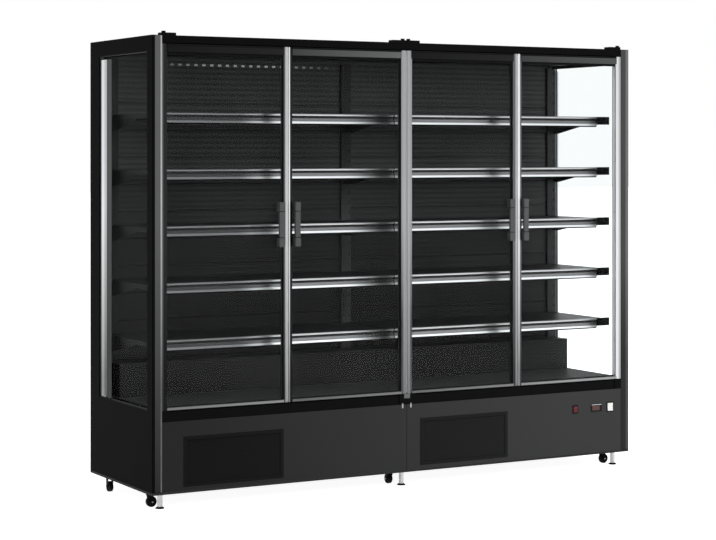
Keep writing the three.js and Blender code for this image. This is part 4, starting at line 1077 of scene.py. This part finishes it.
for side in ("left", "right"):
    panel_low, panel_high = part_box("front_panel_" + side)
    start, end = grille_x[side]
    foot, head = grille_z
    holes = [((start, end), grille_z)]
    if side == "right":
        for middle, width, height, margin in controls.values():
            across, up = width / 2 + margin, height / 2 + margin
            sides, ends = (middle - across, middle + across), (control_z - up, control_z + up)
            holes.append((sides, ends))
    outline = ((panel_low.x, panel_high.x), (panel_low.z, panel_high.z))
    panel = Workpiece(f"front_panel_{side}_sheet", panel_coat, switch_black)
    panel.add(pierced_sheet(outline, holes, panel_face, panel_sheet))
    sheet_back = panel_face + panel_sheet
    around = ((panel_low.x, panel_low.z), (panel_high.x, panel_high.z))
    ring(panel, "Y", (sheet_back, panel_face + panel_return), around, panel_sheet, 0.0)
    if side == "right":
        for name in ("power_switch", "light_switch"):
            middle, width, height, margin = controls[name]
            for depth, past, wall, edge in (
                ((panel_face - 0.003, panel_face - 0.0001), 0.005, 0.004, 0.0009),
                ((sheet_back, panel_face + 0.014), 0.003, 0.002, 0.0)
            ):
                across, up = width / 2 + past, height / 2 + past
                bezel = ((middle - across, control_z - up), (middle + across, control_z + up))
                ring(panel, "Y", depth, bezel, wall, edge, 1)
    panel.fit("root", "black_steel", "front_panel_" + side)

    grille = Workpiece(f"grille_{side}", grille_coat, flange_coat)
    flange_low = (start - flange_width, foot - flange_width / 2)
    flange_high = (end + flange_width, head + flange_width / 2)
    flange_depth = (panel_face - 0.0014, panel_face - parting)
    ring(
        grille, "Y", flange_depth, (flange_low, flange_high), flange_width + wall_width, 0.0005, 1
    )
    around = ((start + gap, foot + gap), (end - gap, head - gap))
    ring(grille, "Y", (panel_face, panel_face + 0.010), around, wall_width, 0.0)
    pitch = (head - foot - 2 * wall_width) / blade_count
    within = wall_width + gap
    for number in range(blade_count):
        low_z = foot + wall_width + pitch * (number + 0.5) - blade_height / 2
        blade = [
            (panel_face - 0.0002, low_z), (panel_face + 0.0012, low_z),
            (panel_face + 0.0065, low_z + blade_height),
            (panel_face + 0.0051, low_z + blade_height)
        ]
        grille.bar(blade, "X", start + within, end - within)
    third = (end - start) / 3
    for middle in (start + third, end - third):
        rib_low = (middle - rib_width / 2, panel_face + 0.0060, foot + within)
        grille.block(rib_low, (middle + rib_width / 2, panel_face + 0.0095, head - within))
    grille.fit("root", "black_plastic")
    pad = Workpiece(f"dust_filter_{side}", filter_foam)
    pad_low = (start - filter_side, panel_face + filter_front, foot - filter_end)
    pad_high = (end + filter_side, panel_face + filter_back, head + filter_end)
    pad.block(pad_low, pad_high, 0.002)
    pad.fit("root", "black_plastic")

# --------------------
# Switches and controller
# Two rocker switches, a red one for power and a white one for the lamps, rock in black bezels.
# The controller is a black plate with a dark window, a plain figure display and three soft keys.

dark_red, pale_red = (0.07, 0.008, 0.011), (0.10, 0.011, 0.015)
finish_node("power_switch", moulded_plastic("red_rocker", dark_red, pale_red, 0.2, 0.35))
finish_node("light_switch", lamp_cover)
finish_node("controller", switch_black)
plate_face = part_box("controller")[0].y
display_glow = lamp_glow("display_glow", (1.0, 0.03, 0.04), 0.22, (1.053, 0.2))
label_white = moulded_plastic("label_white", 0.45, 0.55, 0.2, 0.4)
window_black = moulded_plastic("window_black", 0.001, 0.002, 0.3, 0.1)
fascia_plate = Workpiece("controller_face", window_black, label_white, display_glow, switch_black)
plate_back, window_face = plate_face - parting, plate_face - 0.0008
for left, right, foot, head, face, finish in (
    (1.030, 1.078, 0.285, 0.311, window_face, 0),
    (1.029, 1.087, 0.3118, 0.3145, window_face - 0.0001, 1)
):
    fascia_plate.block((left, face, foot), (right, plate_back, head), 0.0003, 1, finish)
segment, digit_width, digit_height, digit_foot = 0.0016, 0.008, 0.016, 0.290
digit_starts, key_centre, key_heights = (1.036, 1.049, 1.062), 1.0835, (0.287, 0.2955, 0.304)
level_bars = [((0, height), (1, height)) for height in (1, 0.5, 0)]
upright_bars = [((side, foot), (side, foot + 0.5)) for foot in (0.5, 0) for side in (0, 1)]
for start in digit_starts:
    for first, last in level_bars + upright_bars:
        low_x = start + first[0] * (digit_width - segment)
        high_x = start + last[0] * (digit_width - segment) + segment
        low_z = digit_foot + first[1] * (digit_height - segment)
        high_z = digit_foot + last[1] * (digit_height - segment) + segment
        far = (high_x, plate_face - 0.0007, high_z)
        fascia_plate.block((low_x, plate_face - 0.0011, low_z), far, finish=2)
key = [(0, 0.0007), (0.0024, 0.0006), (0.0030, 0.0003), (0.0031, 0), (0, 0)]
for height in key_heights:
    fascia_plate.turned(key, (key_centre, plate_back, height), (0, -1, 0), 20, 3)
fascia_plate.fit("root", "black_plastic")

# --------------------
# Castors
# Six plain castors. A rubber tyre is moulded on a grey nylon hub, and the hub turns on a steel
# axle between the pressed legs of a fork; the front three forks swivel on ball races.

tread_rubber = moulded_plastic("tread_rubber", 0.005, 0.009, 0.08, 0.55)
hub_nylon = moulded_plastic("hub_nylon", 0.010, 0.016, 0.12, 0.4)
fork_coat = powder_coat("fork_coat", 0.003, 0.006, 0.05)
half_tyre = [
    (0.0165, 0.0080), (0.0185, 0.0096), (0.0215, 0.0096), (0.0229, 0.0080), (0.0234, 0.0045)
]
half_hub = [
    (0.0046, 0.0098), (0.0080, 0.0098), (0.0088, 0.0085), (0.0105, 0.0050), (0.0150, 0.0050),
    (0.0168, 0.0076)
]
boss = [(0, 0.0012), (0.0016, 0.0010), (0.0020, 0), (0, 0)]
spoke_count, boss_radius, boss_height, axle_half = 6, 0.0127, 0.0049, 0.0151
axle_end = [(0, 0.0021), (0.0018, 0.0019), (0.0034, 0.0009), (0.0037, 0), (0, 0)]


def mirrored(outline):
    """A closed outline, from the half of it above the wheel's middle."""
    whole = outline + [(radius, -height) for radius, height in reversed(outline)]
    return whole + whole[:1]


def castor_wheel(node, body, axle):
    """A castor wheel in place of its CAD node. Gives its centre."""
    low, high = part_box(node)
    centre, up = (low + high) / 2, Vector((0, 0, 1))
    wheel = Workpiece(node + "_tyre", tread_rubber, hub_nylon)
    wheel.turned(mirrored(half_tyre), centre, axle, 40)
    wheel.turned(mirrored(half_hub), centre, axle, 28, 1)
    for number in range(spoke_count):
        turn = math.tau * number / spoke_count
        out = axle.cross(up) * math.cos(turn) + up * math.sin(turn)
        for way in (axle, -axle):
            wheel.turned(boss, centre + out * boss_radius + way * boss_height, way, 10, 1)
    wheel.fit(body, "black_rubber", node)
    return centre


across, ahead = Vector((1, 0, 0)), Vector((0, 1, 0))
for place, axle in (("left", ahead), ("centre", across), ("right", ahead)):
    centre = castor_wheel("castor_wheel_front_" + place, "castor_wheel_" + place, axle)
    castor_wheel("castor_wheel_rear_" + place, "rear_wheel_" + place, across)
    finish_node("castor_fork_front_" + place, fork_coat)
    ends = Workpiece(f"castor_axle_{place}", zinc)
    for way in (axle, -axle):
        ends.turned(axle_end, centre + way * axle_half, way, 16)
    ends.fit("castor_fork_" + place, "zinc_steel")

# --------------------
# Levelling feet
# Each foot is a black moulded pad under a zinc-plated hexagonal sleeve. A spanner on the sleeve
# turns its threaded stem in a nut that is welded in the base tray.

pad_rubber = moulded_plastic("pad_rubber", 0.004, 0.008, 0.05, 0.5)
sleeve_zinc = zinc_plate("sleeve_zinc", 0.34, 0.62)
pad = [
    (0, 0.0004), (0.0150, 0.0004), (0.0165, 0.0), (0.0190, 0.0), (0.0195, 0.0008),
    (0.0192, 0.0024), (0.0176, 0.0040), (0.0150, 0.0056), (0.0138, 0.0070), (0, 0.0070)
]
sleeve = [
    (0, 0.0072), (0.0112, 0.0072), (0.0125, 0.0084), (0.0125, 0.0722), (0.0112, 0.0736),
    (0, 0.0736)
]
thread_pitch, thread_foot, thread_count = 0.00175, 0.0738, 19
root_radius, crest_radius = 0.0042, 0.0049
stem = [(0, thread_foot), (root_radius, thread_foot)]
for number in range(thread_count):
    stem.append((crest_radius, thread_foot + thread_pitch * (number + 0.5)))
    stem.append((root_radius, thread_foot + thread_pitch * (number + 1)))
stem.append((0, thread_foot + thread_pitch * thread_count))
for place in ("left", "centre", "right"):
    node = "levelling_foot_" + place
    low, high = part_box(node)
    middle = Vector(((low.x + high.x) / 2, (low.y + high.y) / 2, 0))
    foot = Workpiece(node + "_screw", sleeve_zinc, pad_rubber)
    foot.turned(pad, middle, (0, 0, 1), 40, 1)
    foot.turned(sleeve, middle, (0, 0, 1), 6)
    foot.turned(stem, middle, (0, 0, 1), 16)
    foot.fit(node, "zinc_steel", node)

# --------------------
# Cooling machine
# A hermetic compressor stands on the base tray on rubber grommets. The condenser is a block of
# aluminium fins in a shroud with its fan, and the evaporator hangs behind the duct panel.


def finned_metal(name, dark, light, pitch):
    """Thin aluminium fins packed close together across X."""
    metal = Finish(name)
    fins = metal.node(
        "TexWave", {"Vector": metal.place(), "Scale": math.pi / 10 / pitch}, output="Fac"
    )
    dust = metal.noise(7.0, 5.0)
    return metal.body(
        Base_Color=metal.shade(fins * 0.7 + dust * 0.3, dark, light), Metallic=1.0,
        Roughness=0.35 + dust * 0.2, Normal=metal.relief(fins, 0.0008, 0.7)
    )


fin_metal = finned_metal("fin_metal", 0.10, 0.6, 0.0021)
finish_node("compressor", powder_coat("machine_coat", 0.006, 0.012, 0.3, 0.3))
finish_node("condenser_coil", fin_metal)
finish_node("evaporator_coil", fin_metal)
finish_node("condenser_fan", moulded_plastic("fan_plastic", 0.006, 0.012, 0.2, 0.4))
